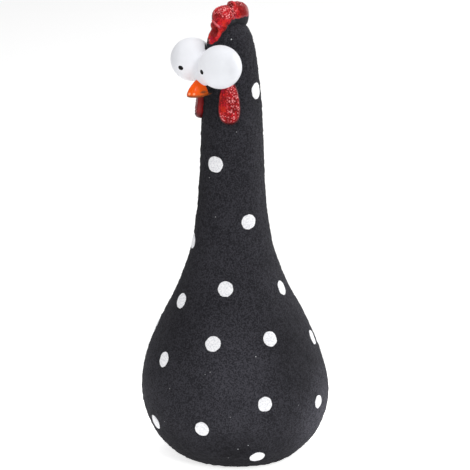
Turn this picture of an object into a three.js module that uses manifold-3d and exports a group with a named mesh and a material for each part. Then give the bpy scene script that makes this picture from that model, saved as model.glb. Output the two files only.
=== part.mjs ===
// A tall polka-dot hen, hollow cast in stone-filled resin and put together from separate pieces.
//
// Frame: millimetres, +Z up. The origin is on the table, under the middle of the belly.
// The hen faces -Y and its own left side is +X. An azimuth is measured round the body from
// the way the hen faces, positive towards its left.
import * as THREE from "three";
import { mergeVertices } from "three/addons/utils/BufferGeometryUtils.js";
import Module from "manifold-3d";

const wasm = await Module();
wasm.setup();

// Fits
const GAP = 0.3; // glue gap between two pieces that seat on each other

// Felt disc under the base, and the recess that holds it
const FELT_RADIUS = 33;
const FELT_THICKNESS = 1.5;
const FELT_RECESS_DEPTH = 1.3;
const FOOT_LIFT = FELT_THICKNESS + GAP - FELT_RECESS_DEPTH;

// Body outline, foot to crown. Every station is a rise from the one below it, a radius, and
// how far the hand-made body has swayed forward there. The neck runs from its root to the throat.
const NECK_LENGTH = 124;
const FOOT = { rise: FOOT_LIFT, radius: 40.3, forward: -0.8 };
const HEEL = { rise: 6, radius: 47.2, forward: -0.7 };
const LOWER_BELLY = { rise: 10.5, radius: 55.1, forward: -0.4 };
const BELLY = { rise: 22, radius: 60.8, forward: 0.1 };
const UPPER_BELLY = { rise: 23, radius: 57.8, forward: 1.3 };
const SHOULDER = { rise: 22, radius: 49.3, forward: 2 };
const NECK_ROOT = { rise: 27, radius: 36.2, forward: 2.3 };
const LOWER_NECK = { rise: NECK_LENGTH * 0.226, radius: 26.3, forward: 2.5 };
const MIDDLE_NECK = { rise: NECK_LENGTH * 0.25, radius: 21.9, forward: 2.7 };
const UPPER_NECK = { rise: NECK_LENGTH * 0.282, radius: 20.1, forward: 2.8 };
const THROAT = { rise: NECK_LENGTH * 0.242, radius: 18.9, forward: 3.3 };
const TEMPLE = { rise: 23, radius: 17, forward: 4 };
const BROW_LINE = { rise: 14, radius: 15, forward: 4.3 };
const CROWN_EDGE = { rise: 11, radius: 10.6, forward: 4.5 };
const CROWN = { rise: 5, radius: 0, forward: 4.5 };
const RINGS_PER_STATION = 3;
const BODY_FACETS = 42;

// Hollow of the casting, and the hole in the base that it was poured through
const WALL = 5;
const BASE_THICKNESS = 6;
const CAVITY_TOP_DROP = 1; // from the upper neck down to the top of the hollow
const CAVITY_DOME = 14;
const CAVITY_RINGS = 11;
const CAVITY_RING_CROWDING = 1.3; // above 1, the rings crowd towards the dome
const HOLE_RADIUS = 14;

// Rubber stopper in the casting hole
const STOPPER_FLANGE_RADIUS = 17;
const STOPPER_FLANGE_THICKNESS = 1.4;
const STOPPER_BEAD_RADIUS = 14.9;
const STOPPER_BEAD_HEIGHT = 2.4;
const STOPPER_CORE_RADIUS = 9;
const STOPPER_FACETS = 24;

// Eyes: two balls that nearly touch, sunk into cups in the head
const EYE_RADIUS = 13.7;
const EYE_SPACING = 28;
const EYE_FORWARD = 23.9;
const EYE_RISE = 4.5; // from the temple up to the middle of the eyes
const EYE_FACETS = 22;
const EYE_PEG_RADIUS = 2.5;
const EYE_PEG_LENGTH = 5;

// Pupils: beads set in shallow dimples of the balls, looking in and down
const PUPIL_RADIUS = 1.55;
const PUPIL_PROUD = 0.35;
const PUPIL_DEPTH = 0.5;
const PUPIL_EDGE_RISE = 0.12; // the bead's rim over the ball
const PUPIL_SHOULDER_SHARE = 0.7; // where the bead's top rounds over, across it
const PUPIL_SHOULDER_RISE = 0.65; // and how far up it is there
const DIMPLE_REACH = 1.5; // how far a dimple's cut reaches from its floor
const PUPIL_FACETS = 14;
const LEFT_GAZE = { azimuth: -6.4, elevation: -6.3 };
const RIGHT_GAZE = { azimuth: 18.8, elevation: -12.8 };

// Brow: the part of the head that fills the valley between the eyes
const BROW_FORWARD = 14;
const BROW_HALF_WIDTH = 9;
const BROW_HALF_DEPTH = 9.8;
const BROW_HALF_HEIGHT = 15;
const BROW_FACETS = 20;

// Beak: sections from the face to the tip, each ahead of the body's axis, with its top and
// bottom below the middle of the eyes
const BEAK_ROOT = { forward: 15, top: 5.5, bottom: 20.6, halfWidth: 3.6 };
const BEAK_FACE = { forward: 22, top: 5.9, bottom: 20.7, halfWidth: 4 };
const BEAK_GAPE = { forward: 25, top: 6.9, bottom: 20.7, halfWidth: 4.1 };
const BEAK_CHEEK = { forward: 26.4, top: 7.2, bottom: 20.7, halfWidth: 4.8 };
const BEAK_MIDDLE = { forward: 30, top: 8.8, bottom: 20.9, halfWidth: 5 };
const BEAK_SLOPE = { forward: 33.5, top: 11.2, bottom: 20.7, halfWidth: 4.4 };
const BEAK_HOOK = { forward: 36, top: 13.5, bottom: 20.4, halfWidth: 3.4 };
const BEAK_NOSE = { forward: 37.7, top: 15.6, bottom: 20.1, halfWidth: 2.3 };
const BEAK_TIP = { forward: 38.6, top: 17.2, bottom: 19.6, halfWidth: 1.2 };
const BEAK_WIDEST_SHARE = 0.28;
const BEAK_RIDGE_NARROWING = 0.3;
const BEAK_JAW_SQUARENESS = 0.7;
const BEAK_TIP_ROUNDING = 0.4;
const BEAK_FACETS = 18;
const BEAK_PEG_RADIUS = 2.5;
const BEAK_PEG_LENGTH = 6;
const BEAK_PEG_DROP = 2;

// Wattles: two drops under the eyes, on the sides of the throat
const LEFT_WATTLE = { rise: 4, azimuth: 46.8 }; // from the throat up to the wattle's middle
const RIGHT_WATTLE = { rise: 2.5, azimuth: -36 };
const WATTLE_HALF_WIDTH = 6.5;
const WATTLE_HALF_LENGTH = 13.9;
const WATTLE_THICKNESS = 3.1;
const WATTLE_TAPER = 0.14;
const WATTLE_SQUARENESS = 0.82;
const WATTLE_LOWER_SWELL = 0.25; // how much thicker the drop gets towards its lower end
const WATTLE_EDGE_SHARE = 0.2; // thickness at its edge, against the middle's
const WATTLE_BLUNTNESS = 6;
const WATTLE_RINGS = [0.4, 0.72, 0.91, 1]; // from its middle to its edge
const WATTLE_FACETS = 20;
const WATTLE_PEG_RADIUS = 1.8;
const WATTLE_PEG_LENGTH = 4;
const WATTLE_PEG_DROP = 3;

// Comb: four lobes along the middle of the head, and the square shoulder of the last. Each has its
// middle ahead of the body's axis and above the crown, or below it where that is negative.
const COMB_TIP = { forward: 16.2, above: -9.4, halfLength: 4, halfHeight: 7.6, halfWidth: 4.8, tilt: -32 };
const COMB_FOLD = { forward: 12.2, above: -4, halfLength: 4.6, halfHeight: 6.6, halfWidth: 6.1, tilt: 34 };
const COMB_FRONT = { forward: 8.8, above: 1.6, halfLength: 8.2, halfHeight: 7.3, halfWidth: 6.6, tilt: 8 };
const COMB_BACK = { forward: -1, above: 1.6, halfLength: 7.5, halfHeight: 8.7, halfWidth: 6.8, tilt: -6 };
const COMB_SHOULDER = { forward: 3.4, above: 7.6, halfLength: 2.4, halfHeight: 3.8, halfWidth: 3, tilt: 0 };
const LOBE_SQUARENESS = 0.82;
const LOBE_FACETS = 16;
const COMB_PEG_RADIUS = 2.4;
const COMB_PEG_LENGTH = 7;
const COMB_PEG_PLACES = [8.5, 0.5];

// Painted spots: thick white dabs, by height above the table and azimuth, and each one's size
// against the usual dab
const SPOT_RADIUS = 5;
const SPOT_THICKNESS = 0.7;
const SPOT_EDGE_SHARE = 0.5;
const SPOT_RINGS = [0.5, 1];
const SPOT_FACETS = 10;
const SPOTS = [
  { height: 11.1, azimuth: 66, size: 1.04 },
  { height: 33.1, azimuth: 29.8, size: 1.02 },
  { height: 27, azimuth: -11.2, size: 0.98 },
  { height: 50.2, azimuth: 69.3, size: 1 },
  { height: 41, azimuth: 111, size: 0.94 },
  { height: 71.6, azimuth: -4, size: 1.04 },
  { height: 87.3, azimuth: 35.3, size: 1.04 },
  { height: 88.8, azimuth: 80.8, size: 1.04 },
  { height: 78.4, azimuth: 128, size: 1.08 },
  { height: 107.3, azimuth: -9.5, size: 1.04 },
  { height: 119.4, azimuth: 42.7, size: 1.04 },
  { height: 114.5, azimuth: 114, size: 1.02 },
  { height: 142.8, azimuth: -31, size: 1 },
  { height: 160.6, azimuth: 77.9, size: 1.06 },
  { height: 197.7, azimuth: 20.6, size: 1.1 },
  { height: 243.6, azimuth: 111, size: 1.12 },
  { height: 12, azimuth: 152, size: 1.02 },
  { height: 34, azimuth: 184, size: 1.04 },
  { height: 13, azimuth: 232, size: 1 },
  { height: 46, azimuth: 222, size: 1.02 },
  { height: 31, azimuth: 262, size: 1.04 },
  { height: 52, azimuth: 302, size: 1 },
  { height: 10.5, azimuth: 312, size: 1.02 },
  { height: 68, azimuth: 160, size: 1.04 },
  { height: 84, azimuth: 198, size: 1.06 },
  { height: 76, azimuth: 244, size: 1.02 },
  { height: 90, azimuth: 284, size: 1.04 },
  { height: 82, azimuth: 312, size: 1.02 },
  { height: 108, azimuth: 166, size: 1.04 },
  { height: 122, azimuth: 222, size: 1.02 },
  { height: 115, azimuth: 272, size: 1.06 },
  { height: 150, azimuth: 163, size: 1.04 },
  { height: 163, azimuth: 246, size: 1.04 },
  { height: 196, azimuth: 192, size: 1.06 },
  { height: 203, azimuth: 296, size: 1.08 },
  { height: 238, azimuth: 236, size: 1.1 },
];

// Facets
const PEG_FACETS = 12;
const BALL_BANDS_PER_FACET = 0.7;
const MERGE_DISTANCE = 1e-4;
const SLOPE_STEP = 2;

const matte = { roughness: 0.85, metalness: 0 };
const CAST_BLACK = new THREE.MeshStandardMaterial({ color: 0x2d2d31, ...matte });
const RED_PAINT = new THREE.MeshStandardMaterial({ color: 0xb01a28, roughness: 0.5, metalness: 0 });
const ORANGE_GLOSS = new THREE.MeshStandardMaterial({ color: 0xf2641a, roughness: 0.3, metalness: 0 });
const WHITE_GLOSS = new THREE.MeshStandardMaterial({ color: 0xf3f3f6, roughness: 0.2, metalness: 0 });
const PUPIL_BLACK = new THREE.MeshStandardMaterial({ color: 0x101014, roughness: 0.3, metalness: 0 });
const SPOT_WHITE = new THREE.MeshStandardMaterial({ color: 0xf0f0f0, ...matte });
const STOPPER_RUBBER = new THREE.MeshStandardMaterial({ color: 0x3a3a3a, ...matte });
const FELT_BLACK = new THREE.MeshStandardMaterial({ color: 0x202022, roughness: 1, metalness: 0 });

// A sine or cosine pushed outwards, which squares up a round section; 1 leaves it round
function softened(value, power) {
  return Math.sign(value) * Math.abs(value) ** power;
}

// The smooth outline that all the pieces on the body are set against

const stations = [
  FOOT, HEEL, LOWER_BELLY, BELLY, UPPER_BELLY, SHOULDER, NECK_ROOT, LOWER_NECK,
  MIDDLE_NECK, UPPER_NECK, THROAT, TEMPLE, BROW_LINE, CROWN_EDGE, CROWN,
];

function heightOf(station) {
  const upTo = stations.slice(0, stations.indexOf(station) + 1);
  return upTo.reduce((height, { rise }) => height + rise, 0);
}

const footHeight = heightOf(FOOT);
const throatHeight = heightOf(THROAT);
const crownHeight = heightOf(CROWN);
const eyeHeight = heightOf(TEMPLE) + EYE_RISE;
const outline = new THREE.CatmullRomCurve3(
  stations.map((at) => new THREE.Vector3(at.radius, -at.forward, heightOf(at))),
  false,
  "catmullrom",
).getPoints((stations.length - 1) * RINGS_PER_STATION);

function outlineAt(height) {
  const found = outline.findIndex((p) => p.z >= height);
  const above = found < 0 ? outline.length - 1 : Math.max(found, 1);
  const [low, high] = [outline[above - 1], outline[above]];
  const share = THREE.MathUtils.clamp((height - low.z) / (high.z - low.z), 0, 1);
  return low.clone().lerp(high, share);
}

function radiusAt(height) {
  return outlineAt(height).x;
}

// Where the middle of the body is at a height, along Y
function swayAt(height) {
  return outlineAt(height).y;
}

function slopeAt(height) {
  const low = Math.max(height - SLOPE_STEP, footHeight);
  const high = Math.min(height + SLOPE_STEP, heightOf(CROWN_EDGE));
  return (radiusAt(high) - radiusAt(low)) / (high - low);
}

function outwardAt(height, azimuth) {
  const slope = slopeAt(height);
  const level = 1 / Math.hypot(1, slope);
  return new THREE.Vector3(Math.sin(azimuth) * level, -Math.cos(azimuth) * level, -slope * level);
}

function onBody(height, azimuth, proud) {
  const radius = radiusAt(height);
  const point = new THREE.Vector3(
    radius * Math.sin(azimuth),
    swayAt(height) - radius * Math.cos(azimuth),
    height,
  );
  return point.addScaledVector(outwardAt(height, azimuth), proud);
}

// Solids

function solid(geometry) {
  const bare = geometry.index ? geometry.toNonIndexed() : geometry.clone();
  const points = new THREE.BufferGeometry();
  points.setAttribute("position", bare.getAttribute("position"));
  const merged = mergeVertices(points, MERGE_DISTANCE);
  return new wasm.Manifold(
    new wasm.Mesh({
      numProp: 3,
      vertProperties: merged.attributes.position.array,
      triVerts: new Uint32Array(merged.index.array),
    }),
  );
}

function geometryOf(manifold) {
  const { vertProperties, triVerts } = manifold.getMesh();
  const geometry = new THREE.BufferGeometry();
  geometry.setAttribute("position", new THREE.BufferAttribute(vertProperties, 3));
  geometry.setIndex(new THREE.BufferAttribute(triVerts, 1));
  geometry.computeVertexNormals();
  return geometry;
}

// A profile of [radius, height] turned round the Z axis
function turned(profile, facets) {
  const points = profile.map(([radius, height]) => new THREE.Vector2(radius, height));
  return new THREE.LatheGeometry(points, facets).rotateX(Math.PI / 2);
}

// A peg that starts at a point and runs along a direction
function peg(start, direction, radius, length, facets = PEG_FACETS) {
  const along = new THREE.Vector3(0, 1, 0);
  const rod = new THREE.CylinderGeometry(radius, radius, length, facets).translate(0, length / 2, 0);
  const turn = new THREE.Quaternion().setFromUnitVectors(along, direction.clone().normalize());
  return rod.applyQuaternion(turn).translate(start.x, start.y, start.z);
}

function ballBands(facets) {
  return Math.round(facets * BALL_BANDS_PER_FACET);
}

function ball(radius, centre, facets) {
  const sphere = new THREE.SphereGeometry(radius, facets, ballBands(facets));
  return sphere.rotateX(Math.PI / 2).translate(centre.x, centre.y, centre.z);
}

// Rings of points, each ring running the same way round, closed by a point at each end
function lofted(rings, first, last) {
  const positions = [];
  const put = (...corners) => corners.forEach((p) => positions.push(p.x, p.y, p.z));
  const count = rings[0].length;
  for (let k = 0; k < count; k += 1) {
    const next = (k + 1) % count;
    put(first, rings[0][next], rings[0][k]);
    for (let j = 1; j < rings.length; j += 1) {
      put(rings[j - 1][k], rings[j - 1][next], rings[j][next]);
      put(rings[j - 1][k], rings[j][next], rings[j][k]);
    }
    put(rings[rings.length - 1][k], rings[rings.length - 1][next], last);
  }
  const geometry = new THREE.BufferGeometry();
  geometry.setAttribute("position", new THREE.Float32BufferAttribute(positions, 3));
  return geometry;
}

// A thin piece that follows the body: its edge is where edge(angle) says, in millimetres
// across and up from its middle, and it is thickness(share, up) thick. Its rings of points are
// at the given shares of the way from its middle to its edge.
function laidOnBody({ height, azimuth, edge, thickness, rings, facets }) {
  const level = 1 / Math.hypot(1, slopeAt(height));
  const place = (share, angle, top) => {
    const { across, up } = edge(angle);
    const at = height + share * up * level;
    const around = azimuth + (share * across) / radiusAt(height);
    return onBody(at, around, top ? GAP + thickness(share, share * up) : GAP);
  };
  const ring = (share, top) =>
    Array.from({ length: facets }, (_, k) => place(share, (2 * Math.PI * k) / facets, top));
  const under = rings.map((share) => ring(share, false));
  const over = rings.map((share) => ring(share, true)).reverse();
  return lofted([...under, ...over], place(0, 0, false), place(0, 0, true));
}

// Body

// The body's outer skin, grown by a clearance, as one solid
function bodySkin(grow) {
  const side = outline.slice(0, -1).map((p) => [p.x + grow, p.z]);
  return turned([[0, footHeight], ...side, [0, crownHeight + grow]], BODY_FACETS);
}

function swayed(geometry) {
  const position = geometry.getAttribute("position");
  for (let i = 0; i < position.count; i += 1) {
    position.setY(i, position.getY(i) + swayAt(position.getZ(i)));
  }
  return geometry;
}

function brow(grow) {
  const shape = new THREE.SphereGeometry(1, BROW_FACETS, ballBands(BROW_FACETS));
  shape.scale(BROW_HALF_WIDTH + grow, BROW_HALF_DEPTH + grow, BROW_HALF_HEIGHT + grow);
  return shape.translate(0, -BROW_FORWARD, eyeHeight);
}

// What the comb and beak are cut back by
function headForm(grow) {
  return solid(swayed(bodySkin(grow))).add(solid(brow(grow)));
}

function cavityProfile() {
  const floor = footHeight + BASE_THICKNESS;
  const top = heightOf(UPPER_NECK) - CAVITY_TOP_DROP;
  const profile = [[0, top]];
  for (let k = 1; k <= CAVITY_RINGS; k += 1) {
    const share = (k / CAVITY_RINGS) ** CAVITY_RING_CROWDING;
    const height = THREE.MathUtils.lerp(top, floor, share);
    const offset = WALL * Math.hypot(1, slopeAt(height));
    const dome = Math.min(1, (top - height) / CAVITY_DOME);
    profile.push([(radiusAt(height) - offset) * Math.sqrt(dome * (2 - dome)), height]);
  }
  return profile;
}

function castBody() {
  const recessTop = footHeight + FELT_RECESS_DEPTH;
  const flangeTop = recessTop + STOPPER_FLANGE_THICKNESS + GAP;
  const profile = [
    ...cavityProfile(),
    [HOLE_RADIUS, footHeight + BASE_THICKNESS],
    [HOLE_RADIUS, flangeTop],
    [STOPPER_FLANGE_RADIUS + GAP, flangeTop],
    [STOPPER_FLANGE_RADIUS + GAP, recessTop],
    [FELT_RADIUS + GAP, recessTop],
    [FELT_RADIUS + GAP, footHeight],
    ...outline.map((p) => [p.x, p.z]),
  ];
  return solid(swayed(turned(profile, BODY_FACETS)));
}

// Eyes

const headAxis = new THREE.Vector3(0, swayAt(eyeHeight), eyeHeight);

function eyeCentre(side) {
  return new THREE.Vector3((side * EYE_SPACING) / 2, -EYE_FORWARD, eyeHeight);
}

function eyePeg(side, clearance) {
  const centre = eyeCentre(side);
  const inward = headAxis.clone().sub(centre).normalize();
  const start = centre.clone().addScaledVector(inward, EYE_RADIUS / 2);
  const length = EYE_RADIUS / 2 + EYE_PEG_LENGTH + clearance;
  return solid(peg(start, inward, EYE_PEG_RADIUS + clearance, length));
}

function gazeDirection({ azimuth, elevation }) {
  const around = THREE.MathUtils.degToRad(azimuth);
  const up = THREE.MathUtils.degToRad(elevation);
  const level = Math.cos(up);
  return new THREE.Vector3(Math.sin(around) * level, -Math.cos(around) * level, Math.sin(up));
}

// A bead whose back is flat and whose front stands proud of the ball
function pupil(side, gaze) {
  const direction = gazeDirection(gaze);
  const back = EYE_RADIUS - PUPIL_DEPTH + GAP;
  const front = EYE_RADIUS + PUPIL_PROUD;
  const edge = Math.sqrt(EYE_RADIUS ** 2 - PUPIL_RADIUS ** 2) + PUPIL_EDGE_RISE;
  const profile = [
    [0, back],
    [PUPIL_RADIUS, back],
    [PUPIL_RADIUS, edge],
    [PUPIL_RADIUS * PUPIL_SHOULDER_SHARE, THREE.MathUtils.lerp(edge, front, PUPIL_SHOULDER_RISE)],
    [0, front],
  ];
  const bead = turned(profile, PUPIL_FACETS);
  const turn = new THREE.Quaternion().setFromUnitVectors(new THREE.Vector3(0, 0, 1), direction);
  const centre = eyeCentre(side);
  return bead.applyQuaternion(turn).translate(centre.x, centre.y, centre.z);
}

function eye(side, gaze) {
  const centre = eyeCentre(side);
  const direction = gazeDirection(gaze);
  const dimpleFloor = centre.clone().addScaledVector(direction, EYE_RADIUS - PUPIL_DEPTH);
  const dimple = peg(dimpleFloor, direction, PUPIL_RADIUS + GAP, DIMPLE_REACH, PUPIL_FACETS);
  const round = solid(ball(EYE_RADIUS, centre, EYE_FACETS));
  return round.add(eyePeg(side, 0)).subtract(solid(dimple));
}

function eyeCup(side) {
  return solid(ball(EYE_RADIUS + GAP, eyeCentre(side), EYE_FACETS));
}

// Beak

const beakSections = [
  BEAK_ROOT, BEAK_FACE, BEAK_GAPE, BEAK_CHEEK, BEAK_MIDDLE, BEAK_SLOPE, BEAK_HOOK, BEAK_NOSE,
  BEAK_TIP,
];

function middleOf({ top, bottom }) {
  return eyeHeight - (top + bottom) / 2;
}

// A section is widest low down, along the gape, and narrows to the ridge above it.
function beakSection({ forward, top, bottom, halfWidth }) {
  const [over, under] = [eyeHeight - top, eyeHeight - bottom];
  const widest = THREE.MathUtils.lerp(under, over, BEAK_WIDEST_SHARE);
  return Array.from({ length: BEAK_FACETS }, (_, k) => {
    const angle = (2 * Math.PI * k) / BEAK_FACETS;
    const [across, up] = [Math.cos(angle), Math.sin(angle)];
    const ridge = across * (1 - BEAK_RIDGE_NARROWING * up);
    const jaw = softened(across, BEAK_JAW_SQUARENESS);
    const height = widest + (up > 0 ? over - widest : widest - under) * up;
    return new THREE.Vector3(halfWidth * (up > 0 ? ridge : jaw), -forward, height);
  });
}

const beakPegHeight = middleOf(BEAK_ROOT) - BEAK_PEG_DROP;

function beakPeg(clearance) {
  const face = swayAt(beakPegHeight) - radiusAt(beakPegHeight);
  const start = new THREE.Vector3(0, face - BEAK_PEG_RADIUS, beakPegHeight);
  const length = BEAK_PEG_RADIUS + BEAK_PEG_LENGTH + clearance;
  return solid(peg(start, new THREE.Vector3(0, 1, 0), BEAK_PEG_RADIUS + clearance, length));
}

function beak(skin) {
  const back = new THREE.Vector3(0, -BEAK_ROOT.forward, middleOf(BEAK_ROOT));
  const tip = new THREE.Vector3(0, -BEAK_TIP.forward - BEAK_TIP_ROUNDING, middleOf(BEAK_TIP));
  const horn = solid(lofted(beakSections.map(beakSection), back, tip));
  const trimmed = horn.subtract(skin).subtract(eyeCup(1)).subtract(eyeCup(-1));
  return trimmed.add(beakPeg(0));
}

// Wattles

function wattleMiddle(side) {
  const { rise, azimuth } = side > 0 ? LEFT_WATTLE : RIGHT_WATTLE;
  return { height: throatHeight + rise, azimuth: THREE.MathUtils.degToRad(azimuth) };
}

function wattlePeg(side, clearance) {
  const { height: middle, azimuth } = wattleMiddle(side);
  const height = middle - WATTLE_PEG_DROP;
  const start = onBody(height, azimuth, WATTLE_THICKNESS / 2);
  const inward = outwardAt(height, azimuth).negate();
  const length = WATTLE_THICKNESS / 2 + WATTLE_PEG_LENGTH + clearance;
  return solid(peg(start, inward, WATTLE_PEG_RADIUS + clearance, length));
}

function wattle(side) {
  const drop = laidOnBody({
    ...wattleMiddle(side),
    edge: (angle) => {
      const up = softened(Math.sin(angle), WATTLE_SQUARENESS);
      const width = WATTLE_HALF_WIDTH * (1 - WATTLE_TAPER * up);
      return {
        across: width * softened(Math.cos(angle), WATTLE_SQUARENESS),
        up: WATTLE_HALF_LENGTH * up,
      };
    },
    thickness: (share, up) => {
      const swell = 1 - (WATTLE_LOWER_SWELL * up) / WATTLE_HALF_LENGTH;
      const round = Math.sqrt(1 + WATTLE_EDGE_SHARE ** 2 - share ** WATTLE_BLUNTNESS);
      return WATTLE_THICKNESS * swell * round;
    },
    rings: WATTLE_RINGS,
    facets: WATTLE_FACETS,
  });
  return solid(drop).subtract(eyeCup(side)).add(wattlePeg(side, 0));
}

// Comb

function lobe({ forward, above, halfLength, halfHeight, halfWidth, tilt }) {
  const shape = new THREE.SphereGeometry(1, LOBE_FACETS, ballBands(LOBE_FACETS));
  const position = shape.getAttribute("position");
  for (let i = 0; i < position.count; i += 1) {
    const [x, y, z] = [position.getX(i), position.getY(i), position.getZ(i)].map((value) =>
      softened(value, LOBE_SQUARENESS),
    );
    position.setXYZ(i, x * halfWidth, y * halfLength, z * halfHeight);
  }
  shape.rotateX(THREE.MathUtils.degToRad(tilt));
  return solid(shape.translate(0, -forward, crownHeight + above));
}

function combPegs(clearance) {
  const pegs = COMB_PEG_PLACES.map((forward) => {
    const start = new THREE.Vector3(0, -forward, crownHeight + COMB_PEG_RADIUS);
    const down = new THREE.Vector3(0, 0, -1);
    const length = COMB_PEG_RADIUS + COMB_PEG_LENGTH + clearance;
    return solid(peg(start, down, COMB_PEG_RADIUS + clearance, length));
  });
  return pegs.reduce((all, one) => all.add(one));
}

function comb(skin) {
  const lobes = [COMB_TIP, COMB_FOLD, COMB_FRONT, COMB_BACK, COMB_SHOULDER].map(lobe);
  return lobes.reduce((all, one) => all.add(one)).subtract(skin).add(combPegs(0));
}

// Base

function felt() {
  const profile = [
    [0, 0],
    [FELT_RADIUS, 0],
    [FELT_RADIUS, FELT_THICKNESS],
    [0, FELT_THICKNESS],
  ];
  return swayed(turned(profile, BODY_FACETS));
}

function stopper() {
  const under = FELT_THICKNESS + GAP;
  const flangeTop = under + STOPPER_FLANGE_THICKNESS;
  const beadBottom = footHeight + BASE_THICKNESS + GAP;
  const beadTop = beadBottom + STOPPER_BEAD_HEIGHT;
  const shank = HOLE_RADIUS - GAP;
  const profile = [
    [0, under],
    [STOPPER_FLANGE_RADIUS, under],
    [STOPPER_FLANGE_RADIUS, flangeTop],
    [shank, flangeTop],
    [shank, beadBottom],
    [STOPPER_BEAD_RADIUS, beadBottom],
    [shank, beadTop],
    [STOPPER_CORE_RADIUS, beadTop],
    [STOPPER_CORE_RADIUS, flangeTop],
    [0, flangeTop],
  ];
  return swayed(turned(profile, STOPPER_FACETS));
}

// Spots

function spot({ height, azimuth, size }) {
  const radius = SPOT_RADIUS * size;
  return laidOnBody({
    height,
    azimuth: THREE.MathUtils.degToRad(azimuth),
    edge: (angle) => ({ across: radius * Math.cos(angle), up: radius * Math.sin(angle) }),
    thickness: (share) => SPOT_THICKNESS * (1 - (1 - SPOT_EDGE_SHARE) * share ** 2),
    rings: SPOT_RINGS,
    facets: SPOT_FACETS,
  });
}

// Assembly

const hen = new THREE.Group();

function add(name, geometry, material) {
  const mesh = new THREE.Mesh(geometry, material);
  mesh.name = name;
  hen.add(mesh);
}

const skin = headForm(GAP);
const sockets = [
  eyeCup(1), eyeCup(-1), eyePeg(1, GAP), eyePeg(-1, GAP), beakPeg(GAP),
  wattlePeg(1, GAP), wattlePeg(-1, GAP), combPegs(GAP),
];
const body = sockets.reduce((all, one) => all.subtract(one), castBody().add(solid(brow(0))));

add("body_shell", geometryOf(body), CAST_BLACK);
add("comb", geometryOf(comb(skin)), RED_PAINT);
add("beak", geometryOf(beak(skin)), ORANGE_GLOSS);
add("left_eye", geometryOf(eye(1, LEFT_GAZE)), WHITE_GLOSS);
add("right_eye", geometryOf(eye(-1, RIGHT_GAZE)), WHITE_GLOSS);
add("left_pupil", pupil(1, LEFT_GAZE), PUPIL_BLACK);
add("right_pupil", pupil(-1, RIGHT_GAZE), PUPIL_BLACK);
add("left_wattle", geometryOf(wattle(1)), RED_PAINT);
add("right_wattle", geometryOf(wattle(-1)), RED_PAINT);
add("base_stopper", stopper(), STOPPER_RUBBER);
add("base_felt", felt(), FELT_BLACK);
SPOTS.forEach((place, k) => {
  add(`spot_${String(k + 1).padStart(2, "0")}`, spot(place), SPOT_WHITE);
});

export default hen;
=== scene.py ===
"""The looks of a tall polka-dot hen, cast in stone-filled resin and painted by hand.

Sizes are in millimetres and meshes in metres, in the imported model's own frame: +Z is up, the
hen faces -Y and its own left side is +X. An azimuth is measured round the body from the way
the hen faces, positive towards its left.
"""
import logging
import math
from collections.abc import Callable, Iterable, Sequence
from dataclasses import dataclass, field
from enum import Enum
from typing import Any

import bmesh
import bpy
import numpy as np
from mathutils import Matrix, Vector


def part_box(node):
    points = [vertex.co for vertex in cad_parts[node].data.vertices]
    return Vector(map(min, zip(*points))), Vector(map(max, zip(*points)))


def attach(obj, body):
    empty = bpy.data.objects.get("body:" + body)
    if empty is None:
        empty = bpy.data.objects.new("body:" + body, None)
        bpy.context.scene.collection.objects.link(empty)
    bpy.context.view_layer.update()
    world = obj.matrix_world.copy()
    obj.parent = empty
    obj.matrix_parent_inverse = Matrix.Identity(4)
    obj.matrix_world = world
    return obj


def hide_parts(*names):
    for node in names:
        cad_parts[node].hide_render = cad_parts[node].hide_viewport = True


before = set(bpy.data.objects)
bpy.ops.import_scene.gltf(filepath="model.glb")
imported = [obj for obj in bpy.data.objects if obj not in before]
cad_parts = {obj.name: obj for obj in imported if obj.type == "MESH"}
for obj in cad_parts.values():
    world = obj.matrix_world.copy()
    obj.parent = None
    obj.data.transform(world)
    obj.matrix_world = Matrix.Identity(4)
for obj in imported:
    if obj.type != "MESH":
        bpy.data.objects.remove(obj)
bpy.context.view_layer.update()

LOG = logging.getLogger("hen")
MM = 0.001  # metres in a millimetre
IMAGE = 470  # pixels, the side of the picture
MOST = (0.3, 0.7)  # where nearly all of a noise lies
PEBBLE = (0.75, 0.1)  # where a pebble starts to rise and where it tops out, across its cell
Array = np.ndarray
Piece = bpy.types.Object
Colour = tuple[float, ...]
Spot = tuple[float, float, float]
Span = tuple[float, float]
Rows = tuple[tuple[float, ...], ...]


# Node graphs


def operators(operation: str) -> tuple[Callable[["Wire", Any], "Wire"], ...]:
    """Makes the two methods that stand behind a Python operator.

    Args:
        operation: the operation of the Math node that the operator adds.

    Returns:
        The operator with the wire first, and its reflected form.
    """

    def plain(wire: "Wire", value: "Wire | float") -> "Wire":
        """The operation on a wire and a value."""
        return wire.math(operation, wire, value)

    def reflected(wire: "Wire", value: "Wire | float") -> "Wire":
        """The operation on a value and a wire."""
        return wire.math(operation, value, wire)

    return plain, reflected


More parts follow.
